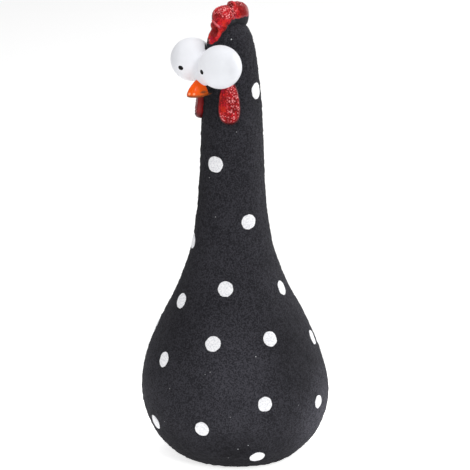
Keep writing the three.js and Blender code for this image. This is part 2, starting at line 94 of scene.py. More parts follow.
class Wire:
    """A node's output that takes part in Python arithmetic, adding a Math node each time."""

    __add__, __radd__ = operators("ADD")
    __sub__, __rsub__ = operators("SUBTRACT")
    __mul__, __rmul__ = operators("MULTIPLY")
    __truediv__, __rtruediv__ = operators("DIVIDE")
    __pow__, __rpow__ = operators("POWER")
    __gt__, __lt__ = operators("GREATER_THAN")

    def __init__(self, graph: "Graph", socket: bpy.types.NodeSocket) -> None:
        """Keeps the graph and the socket."""
        self.graph = graph
        self.socket = socket

    def other(self, name: str | int) -> "Wire":
        """Another output of the same node, by name or index."""
        return Wire(self.graph, self.socket.node.outputs[name])

    def math(self, operation: str, *values: "Wire | float") -> "Wire":
        """A Math node of the given operation on the given values."""
        return self.graph.add("ShaderNodeMath", {"operation": operation}, dict(enumerate(values)))

    def larger(self, value: "Wire | float") -> "Wire":
        """The larger of this and a value."""
        return self.math("MAXIMUM", self, value)

    def ramp(self, low: float, high: float, start: float = 0.0, end: float = 1.0) -> "Wire":
        """Goes smoothly from start to end while this goes from low to high, and stays there."""
        values = {0: self, 1: low, 2: high, 3: start, 4: end}
        return self.graph.add("ShaderNodeMapRange", {"interpolation_type": "SMOOTHSTEP"}, values)

    def within(self, low: float, high: float, start: float = 0.0, end: float = 1.0) -> "Wire":
        """The ramp between two lengths in millimetres."""
        return self.ramp(low * MM, high * MM, start, end)

    def stray(self, width: float) -> "Wire":
        """A noise as a stray to both sides, over a width in millimetres."""
        return (self - 0.5) * (width * MM)


class Graph:
    """A shader or geometry node tree under construction."""

    def __init__(self, tree: bpy.types.NodeTree) -> None:
        """Keeps the tree."""
        self.tree = tree

    def add(
        self,
        kind: str,
        settings: dict[str, Any] | None = None,
        values: dict[str | int, Any] | None = None,
        out: str | int = 0,
    ) -> Wire:
        """Adds a node.

        Args:
            kind: the node's type.
            settings: the node's own properties, set first.
            values: numbers, vectors, colours or wires for its inputs, by name or index.
            out: the output that is wanted.

        Returns:
            The wanted output.
        """
        node = self.tree.nodes.new(kind)
        for name, value in (settings or {}).items():
            setattr(node, name, value)
        for key, value in (values or {}).items():
            if isinstance(value, Wire):
                self.tree.links.new(value.socket, node.inputs[key])
            else:
                node.inputs[key].default_value = value
        return Wire(self, node.outputs[out]) if node.outputs else Wire(self, node.inputs[0])

    def blend(self, share: Wire | float, first: Any, second: Any) -> Wire:
        """A colour that is first where share is 0 and second where it is 1."""
        return self.add("ShaderNodeMix", {"data_type": "RGBA"}, {0: share, 6: first, 7: second}, 2)

    def vector(self, operation: str, *values: Any) -> Wire:
        """Adds a Vector Math node.

        Args:
            operation: the node's operation.
            values: its vectors, or a vector and a number to scale it by.

        Returns:
            The result, a number for a length or a distance.
        """
        out = 1 if operation in ("LENGTH", "DISTANCE") else 0
        inputs = {3 if operation == "SCALE" and i == 1 else i: v for i, v in enumerate(values)}
        return self.add("ShaderNodeVectorMath", {"operation": operation}, inputs, out)

    def axes(self, place: Wire) -> tuple[Wire, ...]:
        """The X, Y and Z of a place."""
        parts = self.add("ShaderNodeSeparateXYZ", {}, {0: place})
        return tuple(parts.other(axis) for axis in "XYZ")

    def channel(self, colour: Wire, index: int) -> Wire:
        """Red, green or blue out of a colour."""
        return self.add("ShaderNodeSeparateColor", {}, {0: colour}, index)

    def away(self, place: Wire, spot: Spot, stretch: Spot | None = None) -> Wire:
        """How far a place is from a spot.

        Args:
            place: the place, in metres.
            spot: the spot, in millimetres.
            stretch: what each axis counts for, if not 1.

        Returns:
            The distance in metres.
        """
        middle = tuple(v * MM for v in spot)
        if stretch is None:
            return self.vector("DISTANCE", place, middle)
        apart = self.vector("SUBTRACT", place, middle)
        return self.vector("LENGTH", self.vector("MULTIPLY", apart, stretch))

    def noise(self, place: Wire, size: Wire | float, detail: float = 2.0) -> Wire:
        """Soft noise from 0 to 1 whose lumps are about size metres wide."""
        values = {"Vector": place, "Scale": 1 / size, "Detail": detail}
        return self.add("ShaderNodeTexNoise", {}, values)

    def attribute(self, name: str) -> Wire:
        """A number that is stored on the mesh, in a shader."""
        return self.add("ShaderNodeAttribute", {"attribute_name": name}, {}, "Fac")

    def cells(self, place: Wire, size: Wire | float) -> Wire:
        """Distance to the middle of the nearest cell of about size metres, 0 at its middle."""
        values = {"Vector": place, "Scale": 1 / size}
        return self.add("ShaderNodeTexVoronoi", {}, values, "Distance")


class Rule:
    """A Geometry Nodes tree with named inputs, run once on a piece and left as a plain mesh."""

    def __init__(self, name: str, sizes: dict[str, Any]) -> None:
        """Makes the tree and its inputs.

        Args:
            name: the tree's name.
            sizes: its inputs by name; whole numbers, numbers, objects and materials.
        """
        self.tree = bpy.data.node_groups.new(name, "GeometryNodeTree")
        self.graph = Graph(self.tree)
        self.sizes = sizes
        kinds = {
            int: "NodeSocketInt", float: "NodeSocketFloat",
            Piece: "NodeSocketObject", bpy.types.Material: "NodeSocketMaterial",
        }
        face = self.tree.interface
        face.new_socket("Geometry", in_out="INPUT", socket_type="NodeSocketGeometry")
        face.new_socket("Geometry", in_out="OUTPUT", socket_type="NodeSocketGeometry")
        self.sockets = {
            key: face.new_socket(key, in_out="INPUT", socket_type=kinds[type(value)])
            for key, value in sizes.items()
        }
        self.start = self.graph.add("NodeGroupInput", out="Geometry")

    def size(self, name: str) -> Wire:
        """One of the named inputs."""
        return self.start.other(name)

    def place(self) -> Wire:
        """Each point's position."""
        return self.graph.add("GeometryNodeInputPosition")

    def normal(self) -> Wire:
        """Each point's normal."""
        return self.graph.add("GeometryNodeInputNormal")

    def attribute(self, name: str, kind: str = "FLOAT") -> Wire:
        """A named attribute of the mesh."""
        settings = {"data_type": kind}
        return self.graph.add("GeometryNodeInputNamedAttribute", settings, {"Name": name})

    def move(self, geometry: Wire, offset: Wire) -> Wire:
        """Moves each point of the geometry by an offset."""
        values = {"Geometry": geometry, "Offset": offset}
        return self.graph.add("GeometryNodeSetPosition", {}, values)

    def end(self, geometry: Wire) -> None:
        """Realizes the instances, sets the material and closes the tree.

        Args:
            geometry: what the tree has made.
        """
        real = self.graph.add("GeometryNodeRealizeInstances", {}, {"Geometry": geometry})
        values = {"Geometry": real, "Material": self.size("Material")}
        done = self.graph.add("GeometryNodeSetMaterial", {}, values)
        self.graph.add("NodeGroupOutput", {}, {"Geometry": done})

    def run(self, piece: Piece) -> Piece:
        """Runs the tree on a piece.

        Args:
            piece: the piece, whose mesh the tree starts from.

        Returns:
            The piece, with the result as its plain mesh.
        """
        modifier = piece.modifiers.new(self.tree.name, "NODES")
        modifier.node_group = self.tree
        for name, value in self.sizes.items():
            modifier[self.sockets[name].identifier] = value
        return settle(piece)


# Mesh helpers


def link(thing: Piece) -> None:
    """Puts an object in the scene."""
    bpy.context.scene.collection.objects.link(thing)


def duplicate(piece: Piece, name: str) -> Piece:
    """Copies a piece together with its mesh.

    Args:
        piece: the piece.
        name: the copy's name.

    Returns:
        The copy, in the scene.
    """
    twin = piece.copy()
    twin.name, twin.data = name, piece.data.copy()
    link(twin)
    return twin


def settle(piece: Piece) -> Piece:
    """Turns what a piece's modifiers make into its plain mesh and removes them.

    Args:
        piece: the piece with its modifiers.

    Returns:
        The piece without them.
    """
    graph = bpy.context.evaluated_depsgraph_get()
    mesh = bpy.data.meshes.new_from_object(piece.evaluated_get(graph), depsgraph=graph)
    piece.modifiers.clear()
    piece.data = mesh
    mesh.shade_smooth()
    return piece


def make_piece(name: str, points: Array, faces: Iterable[Sequence[int]]) -> Piece:
    """Makes a smooth-shaded object at the origin.

    Args:
        name: its name.
        points: its points, in millimetres.
        faces: its faces, as point numbers.

    Returns:
        The object, in the scene.
    """
    mesh = bpy.data.meshes.new(name)
    mesh.from_pydata((np.asarray(points) * MM).tolist(), [], list(faces))
    mesh.shade_smooth()
    piece = bpy.data.objects.new(name, mesh)
    link(piece)
    return piece


def store(piece: Piece, name: str, values: Array) -> None:
    """Stores a value on each point of a piece.

    Args:
        piece: the piece.
        name: the value's name.
        values: a number or a vector for each point.
    """
    kind, key = ("FLOAT_VECTOR", "vector") if values.ndim > 1 else ("FLOAT", "value")
    layer = piece.data.attributes.new(name, kind, "POINT")
    layer.data.foreach_set(key, values.astype(np.float32).ravel())


def place_and_normal(piece: Piece) -> tuple[Array, Array]:
    """Reads a piece's points and normals.

    Args:
        piece: the piece.

    Returns:
        Each point's place in millimetres, and its normal.
    """
    mesh = piece.data
    place, normal = (np.empty(len(mesh.vertices) * 3, np.float32) for _ in range(2))
    mesh.vertices.foreach_get("co", place)
    mesh.vertex_normals.foreach_get("vector", normal)
    return place.reshape(-1, 3) / MM, normal.reshape(-1, 3)


def ease(value: Array, low: float, high: float) -> Array:
    """Goes smoothly from 0 to 1 while a value goes from low to high."""
    share = np.clip((value - low) / (high - low), 0, 1)
    return share * share * (3 - 2 * share)


def tube_faces(rings: int, count: int) -> list[tuple[int, ...]]:
    """Numbers the faces of stacked rings that are closed by one point at each end.

    Args:
        rings: the number of rings; the first point is number 0 and the last comes after them.
        count: the points in a ring.

    Returns:
        The faces, as tuples of point numbers, facing away from the stack.
    """
    faces: list[tuple[int, ...]] = []
    last = 1 + rings * count
    for k in range(count):
        n = (k + 1) % count
        faces.append((0, 1 + n, 1 + k))
        for j in range(rings - 1):
            low, high = 1 + j * count, 1 + (j + 1) * count
            faces.append((low + k, low + n, high + n, high + k))
        top = 1 + (rings - 1) * count
        faces.append((top + k, top + n, last))
    return faces


def spline(points: Array, steps: int) -> Array:
    """Draws a smooth curve through points.

    Args:
        points: the points, one in each row.
        steps: the steps from each of them to the next.

    Returns:
        The curve's points.
    """
    ends = np.vstack([2 * points[0] - points[1], points, 2 * points[-1] - points[-2]])
    t = np.linspace(0, 1, steps, endpoint=False)[:, None]
    parts = []
    for a, b, c, d in zip(ends, ends[1:], ends[2:], ends[3:]):
        cubic = -a + 3 * b - 3 * c + d
        square = 2 * a - 5 * b + 4 * c - d
        parts.append(0.5 * (2 * b + (c - a) * t + square * t**2 + cubic * t**3))
    return np.vstack([*parts, points[-1:]])


def softened(value: Array, power: float) -> Array:
    """A sine or cosine pushed outwards, which squares up a round section."""
    return np.sign(value) * np.abs(value) ** power


def soft_least(first: Array, second: Array, width: float) -> Array:
    """The lesser of two distances, rounded over where they are closer than width."""
    share = np.clip(0.5 + 0.5 * (second - first) / width, 0, 1)
    return second + (first - second) * share - width * share * (1 - share)


# Finishes


class Gloss(Enum):
    """How shiny a coat is, as its roughness."""

    MATTE = 0.86
    SATIN = 0.42
    ENAMEL = 0.2


@dataclass(frozen=True)
class Finish:
    """What every finish shares: a slot of the record, and a Principled shader to fill in.

    The bump is how far the coat's relief stands proud. Sizes of lumps are in millimetres too.
    """

    slot: str = ""
    label: str = "coat"
    gloss: Gloss = Gloss.MATTE
    specular: float = 0.5
    bump: float = 0.1

    def coat(self, graph: Graph, place: Wire) -> dict[str, Any]:
        """The shader's inputs, from the piece's object coordinates."""
        raise NotImplementedError

    def bumped(self, graph: Graph, height: Wire) -> Wire:
        """A normal from a height of 0 to 1, which stands as far proud as the finish's bump."""
        values = {"Strength": 1.0, "Distance": self.bump * MM, "Height": height}
        return graph.add("ShaderNodeBump", {}, values)

    def made(self) -> bpy.types.Material:
        """Makes the finish's material.

        Returns:
            The material, which is the record's slot with the finish's label.
        """
        material = bpy.data.materials.new(f"{self.slot}_{self.label}")
        material.use_nodes = True
        material.node_tree.nodes.clear()
        graph = Graph(material.node_tree)
        place = graph.add("ShaderNodeTexCoord", out="Object")
        inputs = {"Roughness": self.gloss.value, "Specular IOR Level": self.specular}
        shader = graph.add("ShaderNodeBsdfPrincipled", {}, inputs | self.coat(graph, place))
        graph.add("ShaderNodeOutputMaterial", {}, {"Surface": shader})
        return material


@dataclass(frozen=True)
class CastBlack(Finish):
    """Matte charcoal paint over the sandy grain of stone-filled resin.

    Each tone is a patch of painted light or painted shade: a spot, what each axis counts for in its
    distance, a radius and how much lighter the paint is made at the spot, darker where that is
    below 0. Each fleck is a spot and a radius.
    """

    slot: str = "cast_black"
    specular: float = 0.07
    bump: float = 1.1
    dark: Colour = (0.017, 0.0168, 0.0205, 1)
    worn: Colour = (0.046, 0.045, 0.054, 1)
    speck: Colour = (0.26, 0.26, 0.27, 1)
    splash: Colour = (0.7, 0.72, 0.75, 1)
    cloud: float = 14.0
    mottle: float = 2.6
    grain: float = 0.9
    dust: float = 0.35
    ragged: float = 0.6
    speck_cell: float = 2.6
    unspecked: float = 0.99
    painted_light_and_shade: tuple[tuple[Spot, Spot, float, float], ...] = (
        ((44, -36, 68), (1, 1, 0.7), 40, 0.44), ((-5, -50, 98), (1, 1, 0.7), 36, -0.3),
        ((56, 8, 88), (1, 1, 0.55), 36, -0.36), ((50, 28, 30), (1, 1, 1), 38, 1.0),
        ((-30, -50, 45), (1, 1, 0.7), 24, 0.25), ((-12, -20, 180), (1, 1, 0.2), 30, -0.35),
        ((0, 0, 0), (0.3, 0.3, 1), 46, -0.5), ((16, 2, 256), (1, 1, 0.5), 24, -0.24),
        ((20, 12, 160), (1, 1, 0.15), 22, -0.12), ((40, -32, 19), (1, 1, 1), 28, -0.24),
        ((5, -52, 14), (1, 1, 1), 24, -0.2), ((3, -19, 236), (1, 1, 0.8), 14, -0.3),
    )
    flecks: tuple[tuple[Spot, float], ...] = (
        ((10.8, -12.2, 277.9), 0.42), ((16.8, -12.9, 219.4), 0.3), ((47, -21.9, 79.8), 0.38),
        ((29.2, -48.8, 68.9), 0.3), ((49.5, -28.5, 23.3), 0.3), ((48.6, -29.3, 21.8), 0.3),
        ((44.2, -34.2, 19.1), 0.36),
    )

    def coat(self, graph: Graph, place: Wire) -> dict[str, Any]:
        """Cloudy paint with fine grain, a few pale specks of filler and broad patches of painted
        light and shade.

        Args:
            graph: the material's nodes.
            place: the piece's object coordinates.

        Returns:
            The shader's inputs.
        """
        cloud = graph.noise(place, self.cloud * MM, 3.0)
        mottle = graph.noise(place, self.mottle * MM)
        grain = graph.noise(place, self.grain * MM, 4.0)
        shade = (cloud * 0.12 + mottle * 0.18 + grain * 0.7).ramp(0.4, 0.605)
        # Painted light and shade: broad patches made lighter or darker so the body carries the
        # studio's light in its colour.
        light: Any = 1.0
        for spot, stretch, radius, gain in self.painted_light_and_shade:
            light = graph.away(place, spot, stretch).within(radius, 0.0, 0.0, gain) + light
        colour = graph.vector("SCALE", graph.blend(shade, self.dark, self.worn), light)
        cell = graph.cells(place, self.speck_cell * MM)
        chosen = graph.channel(cell.other("Color"), 1) > self.unspecked
        colour = graph.blend(chosen * cell.ramp(0.18, 0.1), colour, self.speck)
        for spot, radius in self.flecks:
            away = graph.away(place, spot) + grain.stray(self.ragged)
            colour = graph.blend(away.within(radius, radius * 0.5), colour, self.splash)
        height = grain * 0.6 + mottle * 0.7 + graph.noise(place, self.dust * MM, 1.0) * 0.4
        return {
            "Base Color": colour,
            "Roughness": grain.ramp(*MOST, 0.72, 0.9),
            "Normal": self.bumped(graph, height),
        }


@dataclass(frozen=True)
class RedPaint(Finish):
    """Glossy red paint over a pebbled coat, with painted shade between the pebbles and painted
    highlights on some.

    It reads three values off the mesh: how much deep red and painted shade shows, how pebbled the
    coat is and how strong its painted highlights are. Below the lap lines, each a height and a
    slope, the black of the head has been brushed over it, and behind the front of the comb it has a
    mauve brink.
    """

    slot: str = "red_paint"
    gloss: Gloss = Gloss.SATIN
    specular: float = 0.12
    bump: float = 0.4
    lapped: bool = False
    # hollow is a near-black painted shadow; deep is the red of the painted shade and of deeper
    # paint.
    hollow: Colour = (0.03, 0.002, 0.003, 1)
    deep_red_and_shade: Colour = (0.22, 0.003, 0.004, 1)
    bright: Colour = (0.7, 0.012, 0.02, 1)
    crimson: Colour = (0.36, 0.006, 0.035, 1)
    scarlet: Colour = (0.68, 0.03, 0.008, 1)
    # Pale pink of the painted highlights.
    glint_pink: Colour = (1.0, 0.34, 0.35, 1)
    mauve: Colour = (0.36, 0.09, 0.12, 1)
    black: Colour = (0.022, 0.022, 0.026, 1)
    pebble: float = 1.1
    cloud: float = 5.0
    smear: float = 4.0
    fine: float = 0.7
    wobble: float = 2.4
    laps: tuple[Span, ...] = ((289.5, 0.03), (297.75, 1.065))
    brink: Span = (1.5, 0.5)
    brink_along: Span = (-7.0, -4.0)
    brush_edge: Span = (0.5, -0.4)

    def lap(self, graph: Graph, place: Wire) -> Wire:
        """Measures from the wavering edge of the black.

        Args:
            graph: the material's nodes.
            place: the piece's object coordinates.

        Returns:
            How far each point is above the edge, in metres.
        """
        _, along, up = graph.axes(place)
        first, second = (up - top * MM - along * slope for top, slope in self.laps)
        return first.larger(second) + graph.noise(place, self.wobble * MM).stray(self.wobble)

    def coat(self, graph: Graph, place: Wire) -> dict[str, Any]:
        """Deep red and painted shade in the hollows, bright red and painted light on the pebbles'
        tops, and black below the laps.

        Args:
            graph: the material's nodes.
            place: the piece's object coordinates.

        Returns:
            The shader's inputs.
        """
        cell = graph.cells(place, self.pebble * MM)
        dome = cell.ramp(*PEBBLE)
        cloud = graph.noise(place, self.cloud * MM)
        smear = graph.channel(graph.noise(place, self.smear * MM, 3.0).other("Color"), 1)
        # The deep red stored on the mesh is mostly painted shade: dents, folds, hollows and
        # surfaces turned away from the key light.
        deep_red_and_shade, pebbled = graph.attribute("deep_red_and_shade"), graph.attribute("pebbled")
        # Painted light and shade: the pebbles' tops are painted lighter and the gaps between them
        # darker, over their real relief.
        tone = (dome * 0.35 + cloud * 0.75 - deep_red_and_shade * 0.6).ramp(0.2, 0.7)
        colour = graph.blend(tone, self.deep_red_and_shade, self.bright)
        smooth = (1 - pebbled) * deep_red_and_shade.ramp(0.7, 0.2)
        colour = graph.blend(smear.ramp(0.52, 0.62, 0, 0.6) * smooth, colour, self.scarlet)
        colour = graph.blend(smear.ramp(0.46, 0.36, 0, 0.8) * smooth, colour, self.crimson)
        # Painted shadow: where the stored shade runs deepest, the red goes near black.
        colour = graph.blend(deep_red_and_shade.ramp(0.75, 1.5), colour, self.hollow)
        chosen = graph.channel(cell.other("Color"), 0).ramp(0.2, 0.8)
        # Painted highlights: pale pink on some pebble tops and along stored lines, standing in for
        # the glints of the gloss.
        painted_glint = chosen * cell.ramp(0.6, 0.3) * pebbled * pebbled * cloud.ramp(0.32, 0.52, 0.5, 1)
        painted_glint = painted_glint.larger(graph.attribute("painted_glint") * cloud.ramp(0.35, 0.6, 0.6, 1.2))
        coat = {
            "Base Color": graph.blend(painted_glint, colour, self.glint_pink),
            "Roughness": cloud.ramp(*MOST, 0.3, 0.45),
            "Normal": self.bumped(graph, dome * pebbled + graph.noise(place, self.fine * MM) * 0.5),
            "Coat Weight": 0.08,
            "Coat Roughness": 0.15,
        }
        if self.lapped:
            lap, (_, along, _) = self.lap(graph, place), graph.axes(place)
            brink = lap.within(*self.brink) * along.within(*self.brink_along, 0, 0.45)
            black = lap.within(*self.brush_edge)
            colour = graph.blend(brink, coat["Base Color"], self.mauve)
            coat["Base Color"] = graph.blend(black, colour, self.black)
            coat["Roughness"] += black * 0.5
        return coat


@dataclass(frozen=True)
class OrangeEnamel(Finish):
    """Glossy orange enamel, thin and brown low down, over a black root with a brown gape, with
    painted shade underneath.

    Each mark is a spot, what each axis counts for in its distance, a radius and a colour. It reads
    off the mesh how near the horn's far edge a point is, and paints that edge brown as painted
    shade.
    """

    slot: str = "orange_gloss"
    gloss: Gloss = Gloss.ENAMEL
    specular: float = 0.14
    bump: float = 0.2
    orange: Colour = (0.91, 0.096, 0.001, 1)
    amber: Colour = (0.76, 0.115, 0.006, 1)
    brown: Colour = (0.3, 0.07, 0.016, 1)
    dark: Colour = (0.19, 0.045, 0.015, 1)
    glint: Colour = (1.0, 0.4, 0.2, 1)
    black: Colour = (0.02, 0.02, 0.022, 1)
    cloud: float = 3.0
    fine: float = 0.9
    ripple: float = 1.4
    ragged: float = 0.7
    thin_up: Span = (249.5, 245.0)
    thin_along: Span = (-36.0, -29.0)
    # Heights over which the underside turns brown as painted shade.
    underside_shade: Span = (244.6, 243.3)
    chin_ragged: float = 0.6
    gape: float = 243.2
    gape_line: Span = (0.75, 0.35)
    gape_along: Span = (-21.0, -25.5)
    root: Span = (-25.7, -25.2)
    root_ragged: float = 1.2
    marks: tuple[tuple[Spot, Spot, float, str], ...] = (
        ((4.8, -30, 245.6), (0.4, 0.4, 1), 1.3, "brown"),
        ((4.8, -30.3, 245.4), (0.4, 0.5, 1.7), 0.75, "dark"),
        ((3, -36, 244.9), (0.7, 0.7, 0.8), 0.8, "glint"),
        ((1.1, -38.2, 244.9), (0.7, 0.7, 0.6), 0.7, "glint"),
    )

    def coat(self, graph: Graph, place: Wire) -> dict[str, Any]:
        """Orange ahead and above, amber and brown smears low behind, painted shade in brown
        underneath and along the far edge, black at the root.

        Args:
            graph: the material's nodes.
            place: the piece's object coordinates.

        Returns:
            The shader's inputs.
        """
        _, back, up = graph.axes(place)
        cloud = graph.noise(place, self.cloud * MM)
        fine = graph.noise(place, self.fine * MM)
        low = up.within(*self.thin_up) * back.within(*self.thin_along)
        colour = graph.blend(low, self.orange, self.amber)
        smear = (low * 0.8 + fine * 0.5 + cloud * 0.3).ramp(1.0, 1.5)
        colour = graph.blend(smear, colour, self.brown)
        # Painted shade: brown on the underside and along the edge turned away from the light.
        under = (up + fine.stray(self.chin_ragged)).within(*self.underside_shade)
        colour = graph.blend(under.larger(graph.attribute("edge")), colour, self.brown)
        for spot, stretch, radius, tint in self.marks:
            away = graph.away(place, spot, stretch) + fine.stray(self.ragged)
            mark = away.within(radius, radius * 0.3)
            colour = graph.blend(mark, colour, getattr(self, tint))
        over = up - self.gape * MM
        edge = back + over * 0.35 + cloud.stray(self.root_ragged)
        root = edge.within(*self.root)
        line = over.math("ABSOLUTE", over).within(*self.gape_line)
        under = graph.blend(line * back.within(*self.gape_along), self.black, self.brown)
        return {
            "Base Color": graph.blend(root, colour, under),
            "Roughness": cloud.ramp(*MOST, 0.18, 0.3) + root * 0.4,
            "Normal": self.bumped(graph, graph.noise(place, self.ripple * MM)),
        }


@dataclass(frozen=True)
class WhiteEnamel(Finish):
    """Smooth glossy white enamel with the faintest unevenness, and a lick of the head's black.

    The slant turns the way along which the white is painted greyer towards the hen's left, where
    the key light falls, and whiter on the far eye: painted shade and painted light. The lick is a
    row of spots, each with a radius.
    """

    slot: str = "white_gloss"
    gloss: Gloss = Gloss.SATIN
    specular: float = 0.35
    bump: float = 0.06
    white: Colour = (0.91, 0.92, 0.96, 1)
    even: Colour = (0.83, 0.845, 0.885, 1)
    # Greys of the painted shade.
    painted_shade_grey: Colour = (0.67, 0.68, 0.715, 1)
    painted_shade_dusk: Colour = (0.5, 0.51, 0.545, 1)
    black: Colour = (0.004, 0.004, 0.005, 1)
    cloud: float = 6.0
    ripple: float = 2.2
    slant: float = 0.82
    painted_light_span: Span = (-32.0, -12.0)
    painted_shade_span: Span = (-12.0, 5.0)
    shaded_top: Span = (264.0, 275.0)
    shaded_front: Span = (-42.0, -53.0)
    lick: tuple[tuple[Spot, float], ...] = (
        ((-6.8, -19.2, 273.1), 0.45), ((-5.9, -19.8, 272.6), 0.6), ((-5, -20.3, 272.1), 0.75),
        ((-4, -20.9, 271.4), 0.85), ((-3, -21.4, 270.9), 0.9),
    )

    def coat(self, graph: Graph, place: Wire) -> dict[str, Any]:
        """White with a faint cloud, painted whiter on the far eye and greyer to the back, at the
        top and far in front, as painted light and shade.

        Args:
            graph: the material's nodes.
            place: the piece's object coordinates.

        Returns:
            The shader's inputs.
        """
        cloud = graph.noise(place, self.cloud * MM)
        across, along, up = graph.axes(place)
        back = along + across * self.slant + cloud.stray(self.cloud)
        # Painted light and shade: whiter where less light falls, greyer where the key light falls,
        # darker at the top and the far rim.
        colour = graph.blend(back.within(*self.painted_light_span), self.white, self.even)
        colour = graph.blend(back.within(*self.painted_shade_span), colour, self.painted_shade_grey)
        painted_dimming = up.within(*self.shaded_top, 0, 0.22) + back.within(*self.shaded_front, 0, 0.3)
        colour = graph.blend(painted_dimming, colour, self.painted_shade_dusk)
        for spot, radius in self.lick:
            lick = graph.away(place, spot).within(radius * 1.1, radius * 0.8)
            colour = graph.blend(lick, colour, self.black)
        return {
            "Base Color": colour,
            "Roughness": cloud.ramp(*MOST, 0.38, 0.5),
            "Normal": self.bumped(graph, graph.noise(place, self.ripple * MM)),
        }


@dataclass(frozen=True)
class PupilBlack(Finish):
    """Glossy black paint."""

    slot: str = "pupil_black"
    gloss: Gloss = Gloss.SATIN
    specular: float = 0.08
    thick: Colour = (0.002, 0.002, 0.002, 1)
    thin: Colour = (0.006, 0.006, 0.007, 1)
    cloud: float = 0.8

    def coat(self, graph: Graph, place: Wire) -> dict[str, Any]:
        """Black with a hint of blue where it is thin."""
        cloud = graph.noise(place, self.cloud * MM)
        return {"Base Color": graph.blend(cloud, self.thick, self.thin)}


@dataclass(frozen=True)
class DabWhite(Finish):
    """Thick matte white paint, dabbed on by hand."""

    slot: str = "spot_white"
    bump: float = 0.25
    thin: Colour = (0.71, 0.715, 0.75, 1)
    thick: Colour = (0.92, 0.92, 0.935, 1)
    cloud: float = 0.9

    def coat(self, graph: Graph, place: Wire) -> dict[str, Any]:
        """White with the trace of the brush.

        Args:
            graph: the material's nodes.
            place: the piece's object coordinates.

        Returns:
            The shader's inputs.
        """
        cloud = graph.noise(place, self.cloud * MM, 3.0)
        return {
            "Base Color": graph.blend(cloud.ramp(0.36, 0.58), self.thin, self.thick),
            "Roughness": cloud.ramp(*MOST, 0.6, 0.8),
            "Normal": self.bumped(graph, cloud),
        }


@dataclass(frozen=True)
class Rubber(Finish):
    """Dark grey rubber, dusty with use."""

    slot: str = "stopper_rubber"
    clean: Colour = (0.03, 0.03, 0.03, 1)
    dusty: Colour = (0.055, 0.055, 0.052, 1)
    cloud: float = 4.0
    fine: float = 0.5

    def coat(self, graph: Graph, place: Wire) -> dict[str, Any]:
        """Grey with a dusty cloud.

        Args:
            graph: the material's nodes.
            place: the piece's object coordinates.

        Returns:
            The shader's inputs.
        """
        cloud = graph.noise(place, self.cloud * MM, 3.0)
        return {
            "Base Color": graph.blend(cloud, self.clean, self.dusty),
            "Normal": self.bumped(graph, graph.noise(place, self.fine * MM)),
        }


@dataclass(frozen=True)
class Felt(Finish):
    """Black felt, with its tangled fibres."""

    slot: str = "felt_black"
    bump: float = 0.3
    inside: Colour = (0.008, 0.008, 0.009, 1)
    on_top: Colour = (0.03, 0.03, 0.032, 1)
    fibre: float = 0.5

    def coat(self, graph: Graph, place: Wire) -> dict[str, Any]:
        """Near black, lighter along the fibres that lie on top.

        Args:
            graph: the material's nodes.
            place: the piece's object coordinates.

        Returns:
            The shader's inputs.
        """
        fibre = graph.noise(place, self.fibre * MM, 5.0)
        return {
            "Base Color": graph.blend(fibre.ramp(0.4, 0.7), self.inside, self.on_top),
            "Normal": self.bumped(graph, fibre),
        }


# The body's outline


@dataclass(frozen=True)
class Outline:
    """The smooth outline that all the pieces on the body are set against.

    Each station is a height, a radius and how far the body has swayed forward there.
    """

    stations: Rows = (
        (0.5, 40.3, -0.8), (6.5, 47.2, -0.7), (17, 55.1, -0.4), (39, 60.8, 0.1), (62, 57.8, 1.3),
        (84, 49.3, 2), (111, 36.2, 2.3), (139, 26.3, 2.5), (170, 21.9, 2.7), (205, 20.1, 2.8),
        (235, 18.9, 3.3), (258, 17, 4), (272, 15, 4.3), (283, 10.6, 4.5), (288, 0, 4.5),
    )
    steps: int = 24

    def curve(self) -> Array:
        """Height, radius and forward sway along the outline."""
        return spline(np.array(self.stations, float), self.steps)

    def radius(self, height: Array) -> Array:
        """The body's radius at a height."""
        curve = self.curve()
        return np.interp(height, curve[:, 0], curve[:, 1])

    def sway(self, height: Array) -> Array:
        """Where the body's middle is at a height, along Y."""
        curve = self.curve()
        return -np.interp(height, curve[:, 0], curve[:, 2])

    def outward(self, height: Array, azimuth: Array) -> Array:
        """Finds the way that leaves the body.

        Args:
            height: the heights.
            azimuth: the azimuths, in radians.

        Returns:
            A unit vector for each.
        """
        slope = (self.radius(height + 1) - self.radius(height - 1)) / 2
        level = 1 / np.hypot(1, slope)
        return np.stack([np.sin(azimuth) * level, -np.cos(azimuth) * level, -slope * level], -1)

    def point(self, height: Array, azimuth: Array, proud: Array) -> Array:
        """Finds points on or off the body.

        Args:
            height: their heights.
            azimuth: their azimuths, in radians.
            proud: how far they stand proud of the body.

        Returns:
            The points.
        """
        height, azimuth, proud = np.broadcast_arrays(height, azimuth, proud)
        radius = self.radius(height)
        y = self.sway(height) - radius * np.cos(azimuth)
        base = np.stack([radius * np.sin(azimuth), y, height], -1)
        return base + self.outward(height, azimuth) * proud[..., None]


# Pieces


@dataclass
class SubAssembly:
    """What the sub-assemblies share: an outline to sit on, and how a piece is finished."""

    outline: Outline = field(default_factory=Outline)

    def dress(self, piece: Piece, finish: Finish, *nodes: str) -> Piece:
        """Gives a piece its finish, its body and the solids that it stands for.

        Args:
            piece: the finished mesh object.
            finish: its finish.
            nodes: the names of the solids that it replaces.

        Returns:
            The piece.
        """
        piece.data.materials.clear()
        piece.data.materials.append(material_of(finish))
        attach(piece, "root")
        if nodes:
            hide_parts(*nodes)
        LOG.info("%s: %d faces", piece.name, len(piece.data.polygons))
        return piece


def corners_of(node: str) -> tuple[Array, Array]:
    """The lowest and the highest corner of a solid, in millimetres."""
    low, high = (np.array(corner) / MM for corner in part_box(node))
    return low, high


def material_of(finish: Finish) -> bpy.types.Material:
    """The material of a finish, made once."""
    return bpy.data.materials.get(f"{finish.slot}_{finish.label}") or finish.made()


